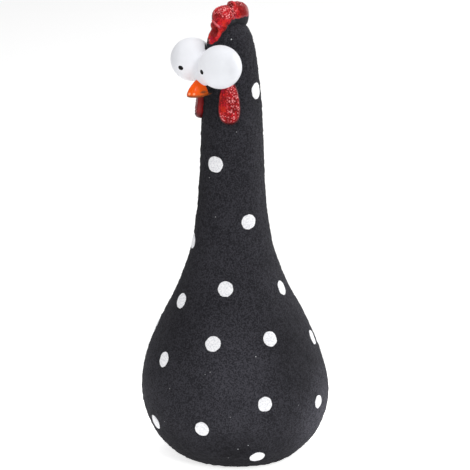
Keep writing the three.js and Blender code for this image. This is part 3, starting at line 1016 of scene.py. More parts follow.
@dataclass
class CastBody(SubAssembly):
    """The hollow casting: belly, neck, head and the brow between the eyes.

    The foot edge is a row of steps out and up from the foot. Each relief of the skin is how deep it
    is and how wide its lumps are. Each swell of the hand-formed skin is azimuth, height, their half
    widths and how far it stands out.
    """

    facets: int = 216
    ring_spacing: float = 1.0
    wall: float = 5.0
    cavity_top: float = 204.0
    cavity_dome: float = 14.0
    cavity_rings: int = 44
    cavity_crowding: float = 1.3
    floor: float = 6.5
    hole: float = 14.0
    flange: Span = (17.3, 3.5)
    recess: Span = (33.3, 1.8)
    foot_edge: Rows = ((-1.2, 0), (-0.7, 0.02), (-0.3, 0.12), (0.05, 0.35))
    brow_foot: float = 240.0
    brow_middle: Span = (14.0, 262.5)
    brow_halves: Spot = (9.0, 9.8, 15.0)
    brow_blend: float = 3.0
    swell: Span = (0.5, 26.0)
    lump: Span = (0.55, 3.4)
    grain: Span = (0.35, 1.8)
    grain_least: Spot = (0.5, 0.5, 0.5)
    grain_most: Spot = (1.4, 1.4, 1.1)
    grain_detail: int = 2
    swells: Rows = (
        (140.7, 91, 70, 27, 0.95), (140.7, 36, 70, 30, 0.55), (140.7, 10, 60, 12, -0.6),
        (-39.3, 15, 60, 8, -0.6), (-39.3, 155, 60, 9, 0.3),
    )

    def skin_profile(self) -> Array:
        """Follows the outer skin upwards in equal steps, from a rounded foot edge.

        Returns:
            The radius and height of each ring.
        """
        line = self.outline.curve()[:, [1, 0]]
        along = np.concatenate([[0], np.cumsum(np.linalg.norm(np.diff(line, axis=0), axis=1))])
        count = int(along[-1] / self.ring_spacing)
        even = np.linspace(0, along[-1], count + 1)
        rings = np.stack([np.interp(even, along, line[:, i]) for i in (0, 1)], -1)
        edge = [rings[0] + step for step in self.foot_edge]
        return np.vstack([edge, rings[1:]])

    def hollow_profile(self) -> Array:
        """Follows the hollow downwards and out under the base.

        Returns:
            The radius and height of each ring.
        """
        share = np.linspace(0, 1, self.cavity_rings) ** self.cavity_crowding
        height = self.cavity_top - (self.cavity_top - self.floor) * share
        slope = (self.outline.radius(height + 2) - self.outline.radius(height - 2)) / 4
        radius = self.outline.radius(height) - self.wall * np.hypot(1, slope)
        dome = np.minimum(1, (self.cavity_top - height) / self.cavity_dome)
        cavity = np.stack([radius * np.sqrt(dome * (2 - dome)), height], -1)
        foot = self.outline.stations[0][0]
        under = [
            (self.hole, self.floor), (self.hole, self.flange[1]), self.flange,
            (self.flange[0], self.recess[1]), self.recess, (self.recess[0], foot),
        ]
        return np.vstack([cavity, under])

    def with_brow(self, radius: Array, height: Array, azimuth: Array) -> Array:
        """Swells the body by the brow where that stands further out.

        Args:
            radius: the body's radius at each point.
            height: the points' heights.
            azimuth: their azimuths, in radians.

        Returns:
            The radius with the brow.
        """
        half_x, half_y, half_z = self.brow_halves
        level = 1 - ((height - self.brow_middle[1]) / half_z) ** 2
        ahead = self.brow_middle[0] + self.outline.sway(height)
        east, north = np.sin(azimuth) / half_x, np.cos(azimuth) / half_y
        a = east**2 + north**2
        b = north * ahead / half_y
        root = b**2 - a * ((ahead / half_y) ** 2 - level)
        reach = np.where(root > 0, (b + np.sqrt(np.maximum(root, 0))) / a, 0)
        return -soft_least(-radius, -reach, self.brow_blend)

    def build(self) -> Piece:
        """Makes the casting, with a skin that is still smooth.

        Returns:
            The body.
        """
        hollow, skin = self.hollow_profile(), self.skin_profile()
        profile = np.vstack([hollow, skin])
        outer = np.arange(len(profile)) >= len(hollow)
        rings = profile[1:-1]
        azimuth = np.linspace(0, 2 * np.pi, self.facets, endpoint=False)[None, :]
        radius = np.repeat(rings[:, :1], self.facets, 1)
        height = np.repeat(rings[:, 1:], self.facets, 1)
        swollen = self.with_brow(radius, height, azimuth)
        radius = np.where(outer[1:-1, None] & (height > self.brow_foot), swollen, radius)
        for turn, level, wide, tall, proud in self.swells:
            off = np.abs((azimuth - math.radians(turn) + np.pi) % (2 * np.pi) - np.pi)
            off = (off / math.radians(wide)) ** 2 + ((height - level) / tall) ** 2
            radius = radius + outer[1:-1, None] * proud * np.maximum(0, 1 - off) ** 2
        sway = self.outline.sway(height)
        grid = np.stack([radius * np.sin(azimuth), sway - radius * np.cos(azimuth), height], -1)
        ends = [[0, float(self.outline.sway(z)), z] for z in (profile[0, 1], profile[-1, 1])]
        points = np.vstack([ends[:1], grid.reshape(-1, 3), ends[1:]])
        piece = make_piece("body", points, tube_faces(len(rings), self.facets))
        mask = np.concatenate([outer[:1], np.repeat(outer[1:-1], self.facets), outer[-1:]])
        store(piece, "outer", mask)
        return piece

    def roughen(self, piece: Piece) -> Piece:
        """Gives the skin its hand-formed unevenness and sandy grain.

        Args:
            piece: the smooth body.

        Returns:
            The piece.
        """
        sizes: dict[str, Any] = {"Material": material_of(CastBlack())}
        names = ("Swell", "Lump", "Grain")
        for name, (depth, size) in zip(names, (self.swell, self.lump, self.grain)):
            sizes |= {name: depth * MM, f"{name} Size": size * MM}
        rule = Rule("cast_skin", sizes)
        graph, place = rule.graph, rule.place()
        swell, lump, grain = (
            (graph.noise(place, rule.size(f"{name} Size"), 1.0) - 0.5) * rule.size(name) * 2
            for name in names
        )
        depth = (swell + lump + grain) * rule.attribute("outer")
        rule.end(rule.move(rule.start, graph.vector("SCALE", rule.normal(), depth)))
        return rule.run(piece)

    def grains(
        self, skin: Piece, name: str, count: int, size: float, seed: int, finish: Finish
    ) -> Piece:
        """Makes grains of filler, half sunk in the skin.

        Args:
            skin: the body that they are scattered over.
            name: the new piece's name.
            count: about how many there are on a square decimetre.
            size: the radius of the usual grain.
            seed: what sets their places.
            finish: their finish.

        Returns:
            All the grains as one piece.
        """
        rule = Rule(name, {
            "Density": count * 100.0, "Radius": size * MM, "Seed": seed,
            "Material": material_of(finish),
        })
        graph = rule.graph
        points = graph.add("GeometryNodeDistributePointsOnFaces", {}, {
            "Mesh": rule.start, "Selection": rule.attribute("outer") > 0.5,
            "Density": rule.size("Density"), "Seed": rule.size("Seed"),
        })
        grain = graph.add("GeometryNodeMeshIcoSphere", {}, {
            "Radius": rule.size("Radius"), "Subdivisions": self.grain_detail,
        })
        stretch = graph.add("FunctionNodeRandomValue", {"data_type": "FLOAT_VECTOR"}, {
            0: self.grain_least, 1: self.grain_most, "Seed": rule.size("Seed"),
        })
        rule.end(graph.add("GeometryNodeInstanceOnPoints", {}, {
            "Points": points, "Instance": grain, "Scale": stretch,
            "Rotation": points.other("Rotation"),
        }))
        return rule.run(duplicate(skin, name))


@dataclass
class Dabs(SubAssembly):
    """The white spots, each a thick dab that follows the skin under it.

    A few were dabbed off their mark: a name, how far along and up in millimetres, and the
    width and height against the usual dab.
    """

    thickness: float = 0.55
    sink: float = 0.5
    ragged: float = 0.7
    roundness: float = 0.42
    segments: int = 40
    rings: int = 24
    wobble: float = 3.6
    lump: float = 2.4
    lump_reach: Span = (0.75, 1.2)
    by_hand: tuple[tuple[str, float, float, float, float], ...] = (
        ("spot_01", -0.1, 0.6, 0.95, 1), ("spot_02", -0.15, -0.1, 0.94, 1),
        ("spot_03", 0, 0.2, 0.98, 1.04), ("spot_04", 0, 0.1, 0.98, 0.97),
        ("spot_05", 0.9, 0.9, 0.91, 0.96), ("spot_06", 0, -0.1, 0.85, 1),
        ("spot_07", 0, -0.2, 1, 1), ("spot_08", -0.15, -0.25, 0.93, 0.98),
        ("spot_09", 2.3, 0.3, 0.72, 1), ("spot_10", -0.2, -0.2, 0.96, 0.98),
        ("spot_11", 0, 0, 0.97, 1), ("spot_12", 0.9, 0, 0.81, 0.98),
        ("spot_14", 0, 0, 0.98, 0.95), ("spot_15", -0.65, 0, 1.06, 0.99),
        ("spot_16", -0.3, 0, 0.9, 1),
    )

    def places(self, nodes: Sequence[str]) -> tuple[Array, ...]:
        """Works out where the dabs go.

        Args:
            nodes: the names of the solids that say where they are.

        Returns:
            Each dab's middle, the way that it faces, and its size.
        """
        hand = {name: shifts for name, *shifts in self.by_hand}
        middles, normals, sizes = [], [], []
        for node in nodes:
            along, up, width, tall = hand.get(node, (0, 0, 1, 1))
            low, high = corners_of(node)
            middle = (low + high) / 2
            azimuth = math.atan2(middle[0], -(middle[1] - float(self.outline.sway(middle[2]))))
            normal = self.outline.outward(middle[2], np.float64(azimuth))
            size = (high[2] - low[2]) / 2 / math.hypot(normal[0], normal[1])
            around, height = azimuth + along / self.outline.radius(middle[2]), middle[2] + up
            middles.append(self.outline.point(height, np.float64(around), np.float64(0)))
            normals.append(self.outline.outward(height, np.float64(around)))
            sizes.append((size * width, size * tall, size))
        return np.array(middles), np.array(normals), np.array(sizes)

    def dab(self, rule: Rule) -> Wire:
        """Makes one dab, flat for now, which keeps how far each point is to rise.

        Args:
            rule: the tree that it is made in.

        Returns:
            The dab.
        """
        graph = rule.graph
        ball = graph.add("GeometryNodeMeshUVSphere", {}, {
            "Segments": self.segments, "Rings": self.rings, "Radius": 1.0,
        })
        up = graph.axes(rule.place())[2]
        over = up.larger(0.0) ** self.roundness * rule.size("Thickness")
        rise = over - (0.0 - up).larger(0.0) * rule.size("Sink")
        settings = {"data_type": "FLOAT", "domain": "POINT"}
        shape = graph.add("GeometryNodeStoreNamedAttribute", settings, {
            "Geometry": ball, "Name": "rise", "Value": rise,
        })
        flat = graph.vector("MULTIPLY", rule.place(), (1.0, 1.0, 0.0))
        return graph.add("GeometryNodeSetPosition", {}, {"Geometry": shape, "Position": flat})

    def build(self, form: Piece, nodes: Sequence[str]) -> Piece:
        """Makes all the dabs as one piece.

        Args:
            form: the smooth body that they lie on.
            nodes: the names of the solids that say where they are.

        Returns:
            The dabs.
        """
        middles, normals, sizes = self.places(nodes)
        piece = make_piece("spots", middles, [])
        store(piece, "facing", normals)
        store(piece, "size", sizes * MM)
        rule = Rule("dabs_on_skin", {
            "Skin": form, "Thickness": self.thickness * MM, "Sink": self.sink * MM,
            "Ragged": self.ragged * MM, "Material": material_of(DabWhite()),
        })
        graph = rule.graph
        shape = self.dab(rule)
        turn = graph.add("FunctionNodeAlignRotationToVector", {"axis": "Z"}, {
            "Vector": rule.attribute("facing", "FLOAT_VECTOR"),
        })
        turn = graph.add("FunctionNodeAlignRotationToVector", {"axis": "Y", "pivot_axis": "Z"}, {
            "Rotation": turn, "Vector": (0.0, 0.0, 1.0),
        })
        dabs = graph.add("GeometryNodeInstanceOnPoints", {}, {
            "Points": rule.start, "Instance": shape, "Rotation": turn,
            "Scale": rule.attribute("size", "FLOAT_VECTOR"),
        })
        dabs = graph.add("GeometryNodeRealizeInstances", {}, {"Geometry": dabs})
        wobble = graph.noise(rule.place(), self.wobble * MM).other("Color")
        wobble = graph.vector("SUBTRACT", wobble, (0.5, 0.5, 0.5))
        dabs = rule.move(dabs, graph.vector("SCALE", wobble, rule.size("Ragged") * 2))
        skin = graph.add("GeometryNodeObjectInfo", {}, {"Object": rule.size("Skin")}, "Geometry")
        near, normal = (
            graph.add("GeometryNodeSampleNearestSurface", {"data_type": "FLOAT_VECTOR"}, {
                "Mesh": skin, "Value": value, "Sample Position": rule.place(),
            })
            for value in (rule.place(), rule.normal())
        )
        lumps = graph.noise(rule.place(), self.lump * MM).ramp(0.25, 0.75, *self.lump_reach)
        proud = graph.vector("SCALE", normal, rule.attribute("rise") * lumps)
        rule.end(graph.add("GeometryNodeSetPosition", {}, {
            "Geometry": dabs, "Position": graph.vector("ADD", near, proud),
        }))
        return rule.run(piece)


@dataclass
class Eyes(SubAssembly):
    """Two balls whose enamel runs together along the crease and down over the top of the beak.

    Each run of enamel is across, along, height and radius.
    """

    radius: float = 13.7
    middle: Spot = (14.0, -23.9, 262.5)
    blend: float = 5.0
    dive: float = 0.3
    runs: Rows = ((0.0, -28.0, 253.8, 3.2), (2.0, -26.6, 251.8, 2.6))
    overlap: float = 1.5
    pupil_radius: float = 1.85
    pupil_squash: float = 0.86
    pupil_proud: float = 0.35
    pupil_sink: float = 0.1
    pupil_back: float = 0.6
    pupil_roundness: float = 0.8
    pupil_rings: int = 12
    pupil_facets: int = 40
    detail: int = 6
    search: Span = (-0.5, 9.0)
    halvings: int = 28

    def centre(self, side: int) -> Array:
        """The middle of the eyeball on one side."""
        return np.array(self.middle) * (side, 1, 1)

    def depth(self, points: Array, side: int) -> Array:
        """Measures from the enamel of one side, which sinks past the middle plane.

        Args:
            points: the points.
            side: 1 for the hen's left and -1 for its right.

        Returns:
            How far outside the enamel each point is.
        """
        both = soft_least(*(
            np.linalg.norm(points - self.centre(hand), axis=-1) - self.radius
            for hand in (side, -side)
        ), self.blend)
        for across, along, height, radius in self.runs:
            run = np.linalg.norm(points - (side * across, along, height), axis=-1) - radius
            both = soft_least(both, run, self.blend)
        return both + np.maximum(0, -side * points[..., 0]) * self.dive

    def ball(self, name: str, side: int) -> Piece:
        """Makes one eye, by looking for the enamel along rays from the ball's middle.

        Args:
            name: its name.
            side: 1 for the hen's left and -1 for its right.

        Returns:
            The eye.
        """
        shape = bmesh.new()
        bmesh.ops.create_icosphere(shape, subdivisions=self.detail, radius=1)
        mesh = bpy.data.meshes.new(name)
        shape.to_mesh(mesh)
        shape.free()
        ways = np.array([v.co for v in mesh.vertices])
        faces = [tuple(p.vertices) for p in mesh.polygons]
        bpy.data.meshes.remove(mesh)
        centre = self.centre(side)
        low, high = (np.full(len(ways), self.radius + reach) for reach in self.search)
        for _ in range(self.halvings):
            reach = (low + high) / 2
            inside = self.depth(centre + ways * reach[:, None], side) < 0
            low, high = np.where(inside, reach, low), np.where(inside, high, reach)
        past = side * centre[0] + self.overlap
        away = np.where(side * ways[:, 0] < 0, past / np.maximum(-side * ways[:, 0], 1e-6), 1e6)
        reach = np.minimum(low, away)
        return make_piece(name, centre + ways * reach[:, None], faces)

    def pupil(self, name: str, node: str, side: int) -> Piece:
        """Makes a low bead on the ball.

        Args:
            name: its name.
            node: the solid that says where it is.
            side: 1 for the hen's left and -1 for its right.

        Returns:
            The bead.
        """
        low, high = corners_of(node)
        centre = self.centre(side)
        ahead = (low + high) / 2 - centre
        ahead /= np.linalg.norm(ahead)
        across = np.cross(ahead, (0, 0, 1))
        across /= np.linalg.norm(across)
        up = np.cross(across, ahead)
        angle = np.linspace(0, 2 * np.pi, self.pupil_facets, endpoint=False)
        turn = np.cos(angle)[:, None] * across + np.sin(angle)[:, None] * up * self.pupil_squash
        rim = math.sqrt(self.radius**2 - self.pupil_radius**2) - self.pupil_sink
        tall = self.radius + self.pupil_proud - rim
        back = tall * self.pupil_back
        loops = []
        for tilt in np.linspace(0, np.pi, self.pupil_rings + 2)[1:-1]:
            level = rim - (back if tilt < np.pi / 2 else tall) * math.cos(tilt)
            wide = self.pupil_radius * math.sin(tilt) ** self.pupil_roundness
            loops.append(centre + ahead * level + turn * wide)
        ends = [centre + ahead * (rim - back), centre + ahead * (rim + tall)]
        points = np.vstack([ends[:1], *loops, ends[1:]])
        return make_piece(name, points, tube_faces(self.pupil_rings, self.pupil_facets))


@dataclass
class Beak(SubAssembly):
    """A short horn with a low gape line and a hooked tip.

    Each section is how far forward it is, its top, its bottom and its half width. The far edge is
    where the surface turns away from the camera, and the enamel paints it brown as painted shade.
    """

    sections: Rows = (
        (15, 257, 241.9, 3.6), (21.5, 256.6, 241.8, 4), (24.3, 255.7, 241.8, 4.1),
        (25.5, 255.6, 241.8, 4.8), (30, 253.7, 241.6, 5),
        (33.5, 251.3, 241.8, 4.4), (36, 249, 242.1, 3.4), (37.7, 246.9, 242.4, 2.3),
        (38.6, 245.3, 242.9, 1.2),
    )
    widest: float = 0.28
    ridge: float = 0.3
    jaw: float = 0.7
    facets: int = 96
    steps: int = 9
    gape_depth: float = 0.35
    gape_width: float = 0.35
    gape_from: float = 0.2
    tip: float = 0.4
    away: Spot = (-0.63, -0.77, 0.0)
    far_edge: Span = (0.68, 0.92)

    def build(self) -> Piece:
        """Makes the horn, with a groove along the gape.

        Returns:
            The beak.
        """
        rows = spline(np.array(self.sections, float), self.steps)
        angle = np.linspace(0, 2 * np.pi, self.facets, endpoint=False)[None, :]
        across, up = np.cos(angle), np.sin(angle)
        ahead, top, bottom, half = (rows[:, i : i + 1] for i in range(4))
        middle = bottom + (top - bottom) * self.widest
        height = np.where(up > 0, middle + (top - middle) * up, middle + (middle - bottom) * up)
        width = np.where(up > 0, across * (1 - self.ridge * up), softened(across, self.jaw))
        groove = self.gape_depth * np.exp(-(((height - middle) / self.gape_width) ** 2))
        x = half * width - np.sign(width) * groove * (np.abs(width) > self.gape_from)
        grid = np.stack([x, -ahead + 0 * x, height], -1)
        first, last = self.sections[0], self.sections[-1]
        ends = [
            [0, -first[0], (first[1] + first[2]) / 2],
            [0, -last[0] - self.tip, (last[1] + last[2]) / 2],
        ]
        points = np.vstack([ends[:1], grid.reshape(-1, 3), ends[1:]])
        piece = make_piece("beak_cone", points, tube_faces(len(rows), self.facets))
        normal = np.array([v.vector for v in piece.data.vertex_normals])
        # Marks the far edge, which the enamel paints brown as painted shade.
        store(piece, "edge", ease(normal @ self.away, *self.far_edge))
        return piece


def pebbled(piece: Piece, name: str, size: float, depth: float, finish: Finish) -> Piece:
    """Gives a piece a coat of small pebbles, low where it is stored as smooth.

    Args:
        piece: the smooth piece.
        name: the tree's name.
        size: the width of a pebble.
        depth: how far it stands proud.
        finish: the paint on it.

    Returns:
        The piece.
    """
    rule = Rule(name, {
        "Pebble": size * MM, "Depth": depth * MM, "Material": material_of(finish),
    })
    graph, place = rule.graph, rule.place()
    dome = graph.cells(place, rule.size("Pebble")).ramp(*PEBBLE)
    lumps = graph.noise(place, rule.size("Pebble") * 4, 1.0) - 0.5
    share = rule.attribute("pebbled") * 0.8 + 0.2
    relief = (dome * share + lumps * 0.8) * rule.size("Depth")
    rule.end(rule.move(rule.start, graph.vector("SCALE", rule.normal(), relief)))
    return rule.run(piece)


@dataclass(frozen=True)
class Side:
    """What differs between the wattles: where one hangs, how full it is and how it is painted.

    The painted shade is as deep as depth in the face and as edge at the rim, and deeper by low at
    the lower end. The last field is how pale the two bands of painted highlight along the rim are.
    """

    azimuth: float
    height: float
    swell: float
    bluntness: float
    depth: float
    edge: float
    low: float
    painted_glint: float


@dataclass
class Wattles(SubAssembly):
    """Two pebbled drops on the sides of the throat."""

    left: Side = Side(46.8, 238.5, 0.25, 6.0, 0.2, 1.4, 0.0, 0.0)
    right: Side = Side(-39.0, 238.1, 0.36, 12.0, 1.05, 0.75, 0.5, 0.05)
    half_width: float = 6.5
    half_length: float = 14.3
    thickness: float = 3.1
    sink: float = 0.4
    taper: float = 0.14
    squareness: float = 0.77
    fullness: float = 1.04
    tip: float = 1.02
    pebble: float = 1.25
    relief: float = 0.4
    rings: int = 34
    facets: int = 120

    def keep(self, piece: Piece, name: str, middle: float, values: Array) -> None:
        """Stores a value of the rings on both faces, with its value at their middles."""
        faces = [[middle], values.ravel(), values[::-1].ravel(), [middle]]
        store(piece, name, np.concatenate(faces))

    def build(self, name: str, side: int) -> Piece:
        """Makes one wattle, with its underside in the skin.

        Args:
            name: its name.
            side: 1 for the hen's left and -1 for its right.

        Returns:
            The wattle, still smooth.
        """
        one = self.left if side > 0 else self.right
        azimuth = math.radians(one.azimuth)
        angle = np.linspace(0, 2 * np.pi, self.facets, endpoint=False)[None, :]
        share = np.sin(np.linspace(0, np.pi / 2, self.rings + 1))[1:, None]
        up = softened(np.sin(angle), self.squareness)
        across = self.half_width * (1 - self.taper * up) * softened(np.cos(angle), self.squareness)
        up, across = self.half_length * up * share, across * share
        thick = self.thickness * (1 - one.swell * up / self.half_length)
        thick = thick * np.sqrt(self.fullness - share**one.bluntness)
        here, there = np.float64(one.height), np.float64(azimuth)
        slope = float(self.outline.outward(here, np.float64(0))[2])
        at = one.height + up * math.sqrt(1 - slope**2)
        around = azimuth + across / self.outline.radius(here)
        under = self.outline.point(at, around, 0 * at - self.sink)
        over = self.outline.point(at, around, thick)[::-1]
        ends = [
            self.outline.point(here, there, np.float64(proud))[None]
            for proud in (-self.sink, self.thickness * self.tip)
        ]
        points = np.vstack([ends[0], under.reshape(-1, 3), over.reshape(-1, 3), ends[1]])
        piece = make_piece(name, points, tube_faces(2 * self.rings, self.facets))
        bead = np.maximum(ease(side * across, -2.5, 0.5), ease(-up, 4, 9))
        self.keep(piece, "pebbled", 1, bead * (1 - ease(share, 0.8, 0.9)))
        share = share + 0 * up
        # Painted shade: deeper red at the rim and at the lower end, where shade falls.
        deep_red_and_shade = one.depth + (one.edge - one.depth) * ease(share, 0.8, 0.94)
        self.keep(piece, "deep_red_and_shade", one.depth, deep_red_and_shade + one.low * ease(-up, 7, 12))
        # Painted highlights: two pale bands along the rim.
        painted_glint = one.painted_glint * ease(share, 0.5, 0.7) * (1 - ease(share, 0.74, 0.82))
        painted_glint = painted_glint + one.painted_glint * ease(share, 0.86, 0.91) * (1 - ease(share, 0.96, 1))
        self.keep(piece, "painted_glint", 0, painted_glint)
        return piece


@dataclass
class Comb(SubAssembly):
    """Lobes along the middle of the head, run together, with a curled leaf at the front.

    Each lobe is across, forward, height, half length, half height, half width and tilt. Each point
    of the leaf's rim is across, forward, height and radius. Each dent is across, forward,
    height, radius and depth, and so are each wash of painted shade and each spot of painted
    highlight. The crest is where a rim's painted pale line runs, against its middle and in shares
    of its radius. Around the pebbled middles, each axis counts for what the pebbled stretch says.
    """

    lobes: Rows = (
        (0.8, 16.2, 278.6, 4, 7.6, 5, -32), (0.3, 12.4, 283, 4.8, 6.6, 6.3, 34),
        (0, 8.8, 289.6, 8.2, 7.3, 6.6, 8), (0, -1, 289.6, 7.5, 8.7, 6.8, -6),
        (0.2, 3.4, 295.6, 2.4, 3.8, 3.2, 0),
    )
    rims: tuple[Rows, ...] = (
        ((0.4, 19.4, 289.4, 0.4), (1.6, 18.8, 288.2, 0.75), (3, 17.9, 286.5, 0.8),
         (4.1, 16.9, 285.3, 0.65), (4.4, 16, 284, 0.3)),
        ((4.2, 16.4, 283.5, 0.3), (4.3, 16.9, 282.2, 0.6), (4.7, 17.2, 280.9, 0.6),
         (4.6, 18.2, 279.5, 0.5), (4.2, 19, 278.2, 0.3)),
    )
    dents: Rows = (
        (2.2, 18.6, 283.2, 3, 1.5), (3, 18.6, 280.6, 2.2, 0.7), (1.8, 5.7, 296.6, 2.4, 1.3),
        (4.8, 5.6, 294.6, 1.8, 0.6), (6.4, 5.6, 291.5, 1.8, 0.5), (6.6, 5.2, 288.5, 1.8, 0.4),
        (-6.6, 4.5, 291.5, 2.6, 0.9), (-4.6, 17, 282.5, 3, 0.9),
    )
    # Painted shade in the folds, the pocket and the hollows, with some deeper red.
    shade_washes: Rows = (
        (1.5, 19, 282, 4.5, 0.8), (3.3, 17.2, 282.3, 1.6, 1.1), (0, 18, 286, 3.5, 0.5),
        (-0.7, 21.8, 276.3, 2, 2), (0.3, 4.6, 297, 3, 1), (6.5, -5, 292.5, 8, 0.8),
        (4, -1, 296.5, 5, 0.75), (6, 12, 284.5, 4, 0.5),
    )
    # Painted highlights on the leaf's lower end.
    highlight_spots: Rows = ((4.3, 18.8, 278.1, 0.9, 1), (0.4, 21.6, 276.9, 1, 0.4))
    crest: Spot = (0.3, -0.5, 0.8)
    # Surfaces turned this way, away from the key light, get painted shade.
    away: Spot = (-0.63, -0.77, 0.0)
    pebbled_middles: Rows = ((3.0, -10.8, 295.6), (1.0, 1.5, 299))
    pebbled_stretch: Spot = (0.4, 0.8, 1.1)
    dent_shade: float = 0.75
    rim_shade: float = 1.4
    squareness: float = 0.82
    voxel: float = 0.3
    relaxing: int = 6
    rim_steps: int = 10
    rings: int = 48
    facets: int = 64
    pebble: float = 1.25
    relief: float = 0.28

    def near(self, place: Array, spot: Sequence[float]) -> Array:
        """How near each place is to a dent, a patch of painted shade or a spot of painted
        highlight: 1 at its middle and 0 beyond its radius.
        """
        x, forward, height, radius, _ = spot
        return np.clip(1 - ((place - (x, -forward, height)) ** 2).sum(1) / radius**2, 0, 1)

    def form(self, rims: Array) -> Piece:
        """Runs the lobes and the leaf's rims together.

        Args:
            rims: the points along the rims, each with its radius.

        Returns:
            One closed form.
        """
        angle = np.linspace(0, 2 * np.pi, self.facets, endpoint=False)[None, :]
        rise = np.linspace(-np.pi / 2, np.pi / 2, self.rings + 2)[1:-1, None]
        level, up = np.cos(rise), np.sin(rise) + 0 * angle
        ball = np.stack([level * np.cos(angle), level * np.sin(angle), up], -1)
        ball = np.vstack([[[0, 0, -1]], ball.reshape(-1, 3), [[0, 0, 1]]])
        parts = []
        for across, forward, height, length, tall, width, tilt in self.lobes:
            x, y, z = (softened(ball, self.squareness) * (width, length, tall)).T
            cos, sin = math.cos(math.radians(tilt)), math.sin(math.radians(tilt))
            along, up = y * cos - z * sin - forward, y * sin + z * cos + height
            parts.append(np.stack([x + across, along, up], -1))
        parts += [ball * radius + (x, -along, height) for x, along, height, radius in rims]
        faces = [
            [v + len(ball) * i for v in face]
            for i in range(len(parts)) for face in tube_faces(self.rings, self.facets)
        ]
        piece = make_piece("comb_lobes", np.vstack(parts), faces)
        weld = piece.modifiers.new("weld", "REMESH")
        weld.mode = "VOXEL"
        weld.voxel_size = self.voxel * MM
        relax = piece.modifiers.new("relax", "SMOOTH")
        relax.iterations = self.relaxing
        return settle(piece)

    def build(self) -> Piece:
        """Makes the comb, dents it and stores how it is to be painted.

        Returns:
            The comb, still smooth.
        """
        rims = np.vstack([spline(np.array(rim, float), self.rim_steps) for rim in self.rims])
        piece = self.form(rims)
        place, normal = place_and_normal(piece)
        push = sum(dent[-1] * self.near(place, dent) ** 2 for dent in self.dents)
        moved = (place - normal * push[:, None]) * MM
        piece.data.vertices.foreach_set("co", moved.ravel())
        # Painted shade: darker red in the dents and the listed folds and hollows, darkest on
        # surfaces turned away from the key light.
        shade_washes = (shade_wash[-1] * self.near(place, shade_wash) for shade_wash in self.shade_washes)
        deep_red_and_shade = np.max([push * self.dent_shade, *shade_washes], axis=0)
        deep_red_and_shade = np.maximum(deep_red_and_shade, self.rim_shade * ease(normal @ self.away, 0.86, 0.99))
        # Painted highlights: a pale line along the leaf's crest and on the listed spots.
        line = rims[:, :3] * (1, -1, 1) + rims[:, 3:] * self.crest
        reach = np.min([np.linalg.norm(place - point, axis=1) for point in line], axis=0)
        painted_glint = (1 - ease(reach, 0.4, 0.8)) * (0.05 + 0.3 * ease(place[:, 2], 284, 286))
        painted_glint = np.max([painted_glint, *(highlight_spot[-1] * self.near(place, highlight_spot) for highlight_spot in self.highlight_spots)], axis=0)
        store(piece, "deep_red_and_shade", deep_red_and_shade * (1 - np.minimum(2 * painted_glint, 1)))
        store(piece, "painted_glint", painted_glint)
        first, second = (
            np.linalg.norm((place - middle) * self.pebbled_stretch, axis=1)
            for middle in self.pebbled_middles
        )
        bead = np.maximum(1 - ease(first, 5, 7.6), 0.85 - ease(second, 2.2, 4.5))
        store(piece, "pebbled", np.maximum(0, bead) * (1 - ease(deep_red_and_shade, 0.75, 0.95)))
        return piece


@dataclass
class Base(SubAssembly):
    """The felt disc under the base, and the stopper that it hides.

    The edge is a row of steps out from the radius and up.
    """

    radius: float = 33.0
    thickness: float = 1.5
    middle: float = 0.8
    facets: int = 180
    rings: int = 25
    soft: float = 0.4
    edge: Rows = ((-0.1, 0.08), (0.0, 0.35), (0.0, 1.15), (-0.15, 1.45))

    def felt(self) -> Piece:
        """Makes the felt disc, with soft edges.

        Returns:
            The disc.
        """
        inner = np.linspace(0, self.radius - self.soft, self.rings + 1)[1:]
        edge = [(self.radius + out, up) for out, up in self.edge]
        profile = [*((r, 0.0) for r in inner), *edge, *((r, self.thickness) for r in inner[::-1])]
        angle = np.linspace(0, 2 * np.pi, self.facets, endpoint=False)
        loops = [
            np.stack([r * np.sin(angle), self.middle - r * np.cos(angle), z + 0 * angle], -1)
            for r, z in profile
        ]
        ends = [[[0, self.middle, 0]], [[0, self.middle, self.thickness]]]
        points = np.vstack([ends[0], *loops, ends[1]])
        return make_piece("felt", points, tube_faces(len(profile), self.facets))

    def dress_stopper(self) -> None:
        """Gives the stopper's own solid its rubber."""
        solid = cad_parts["base_stopper"]
        solid.data.materials.clear()
        solid.data.materials.append(material_of(Rubber()))


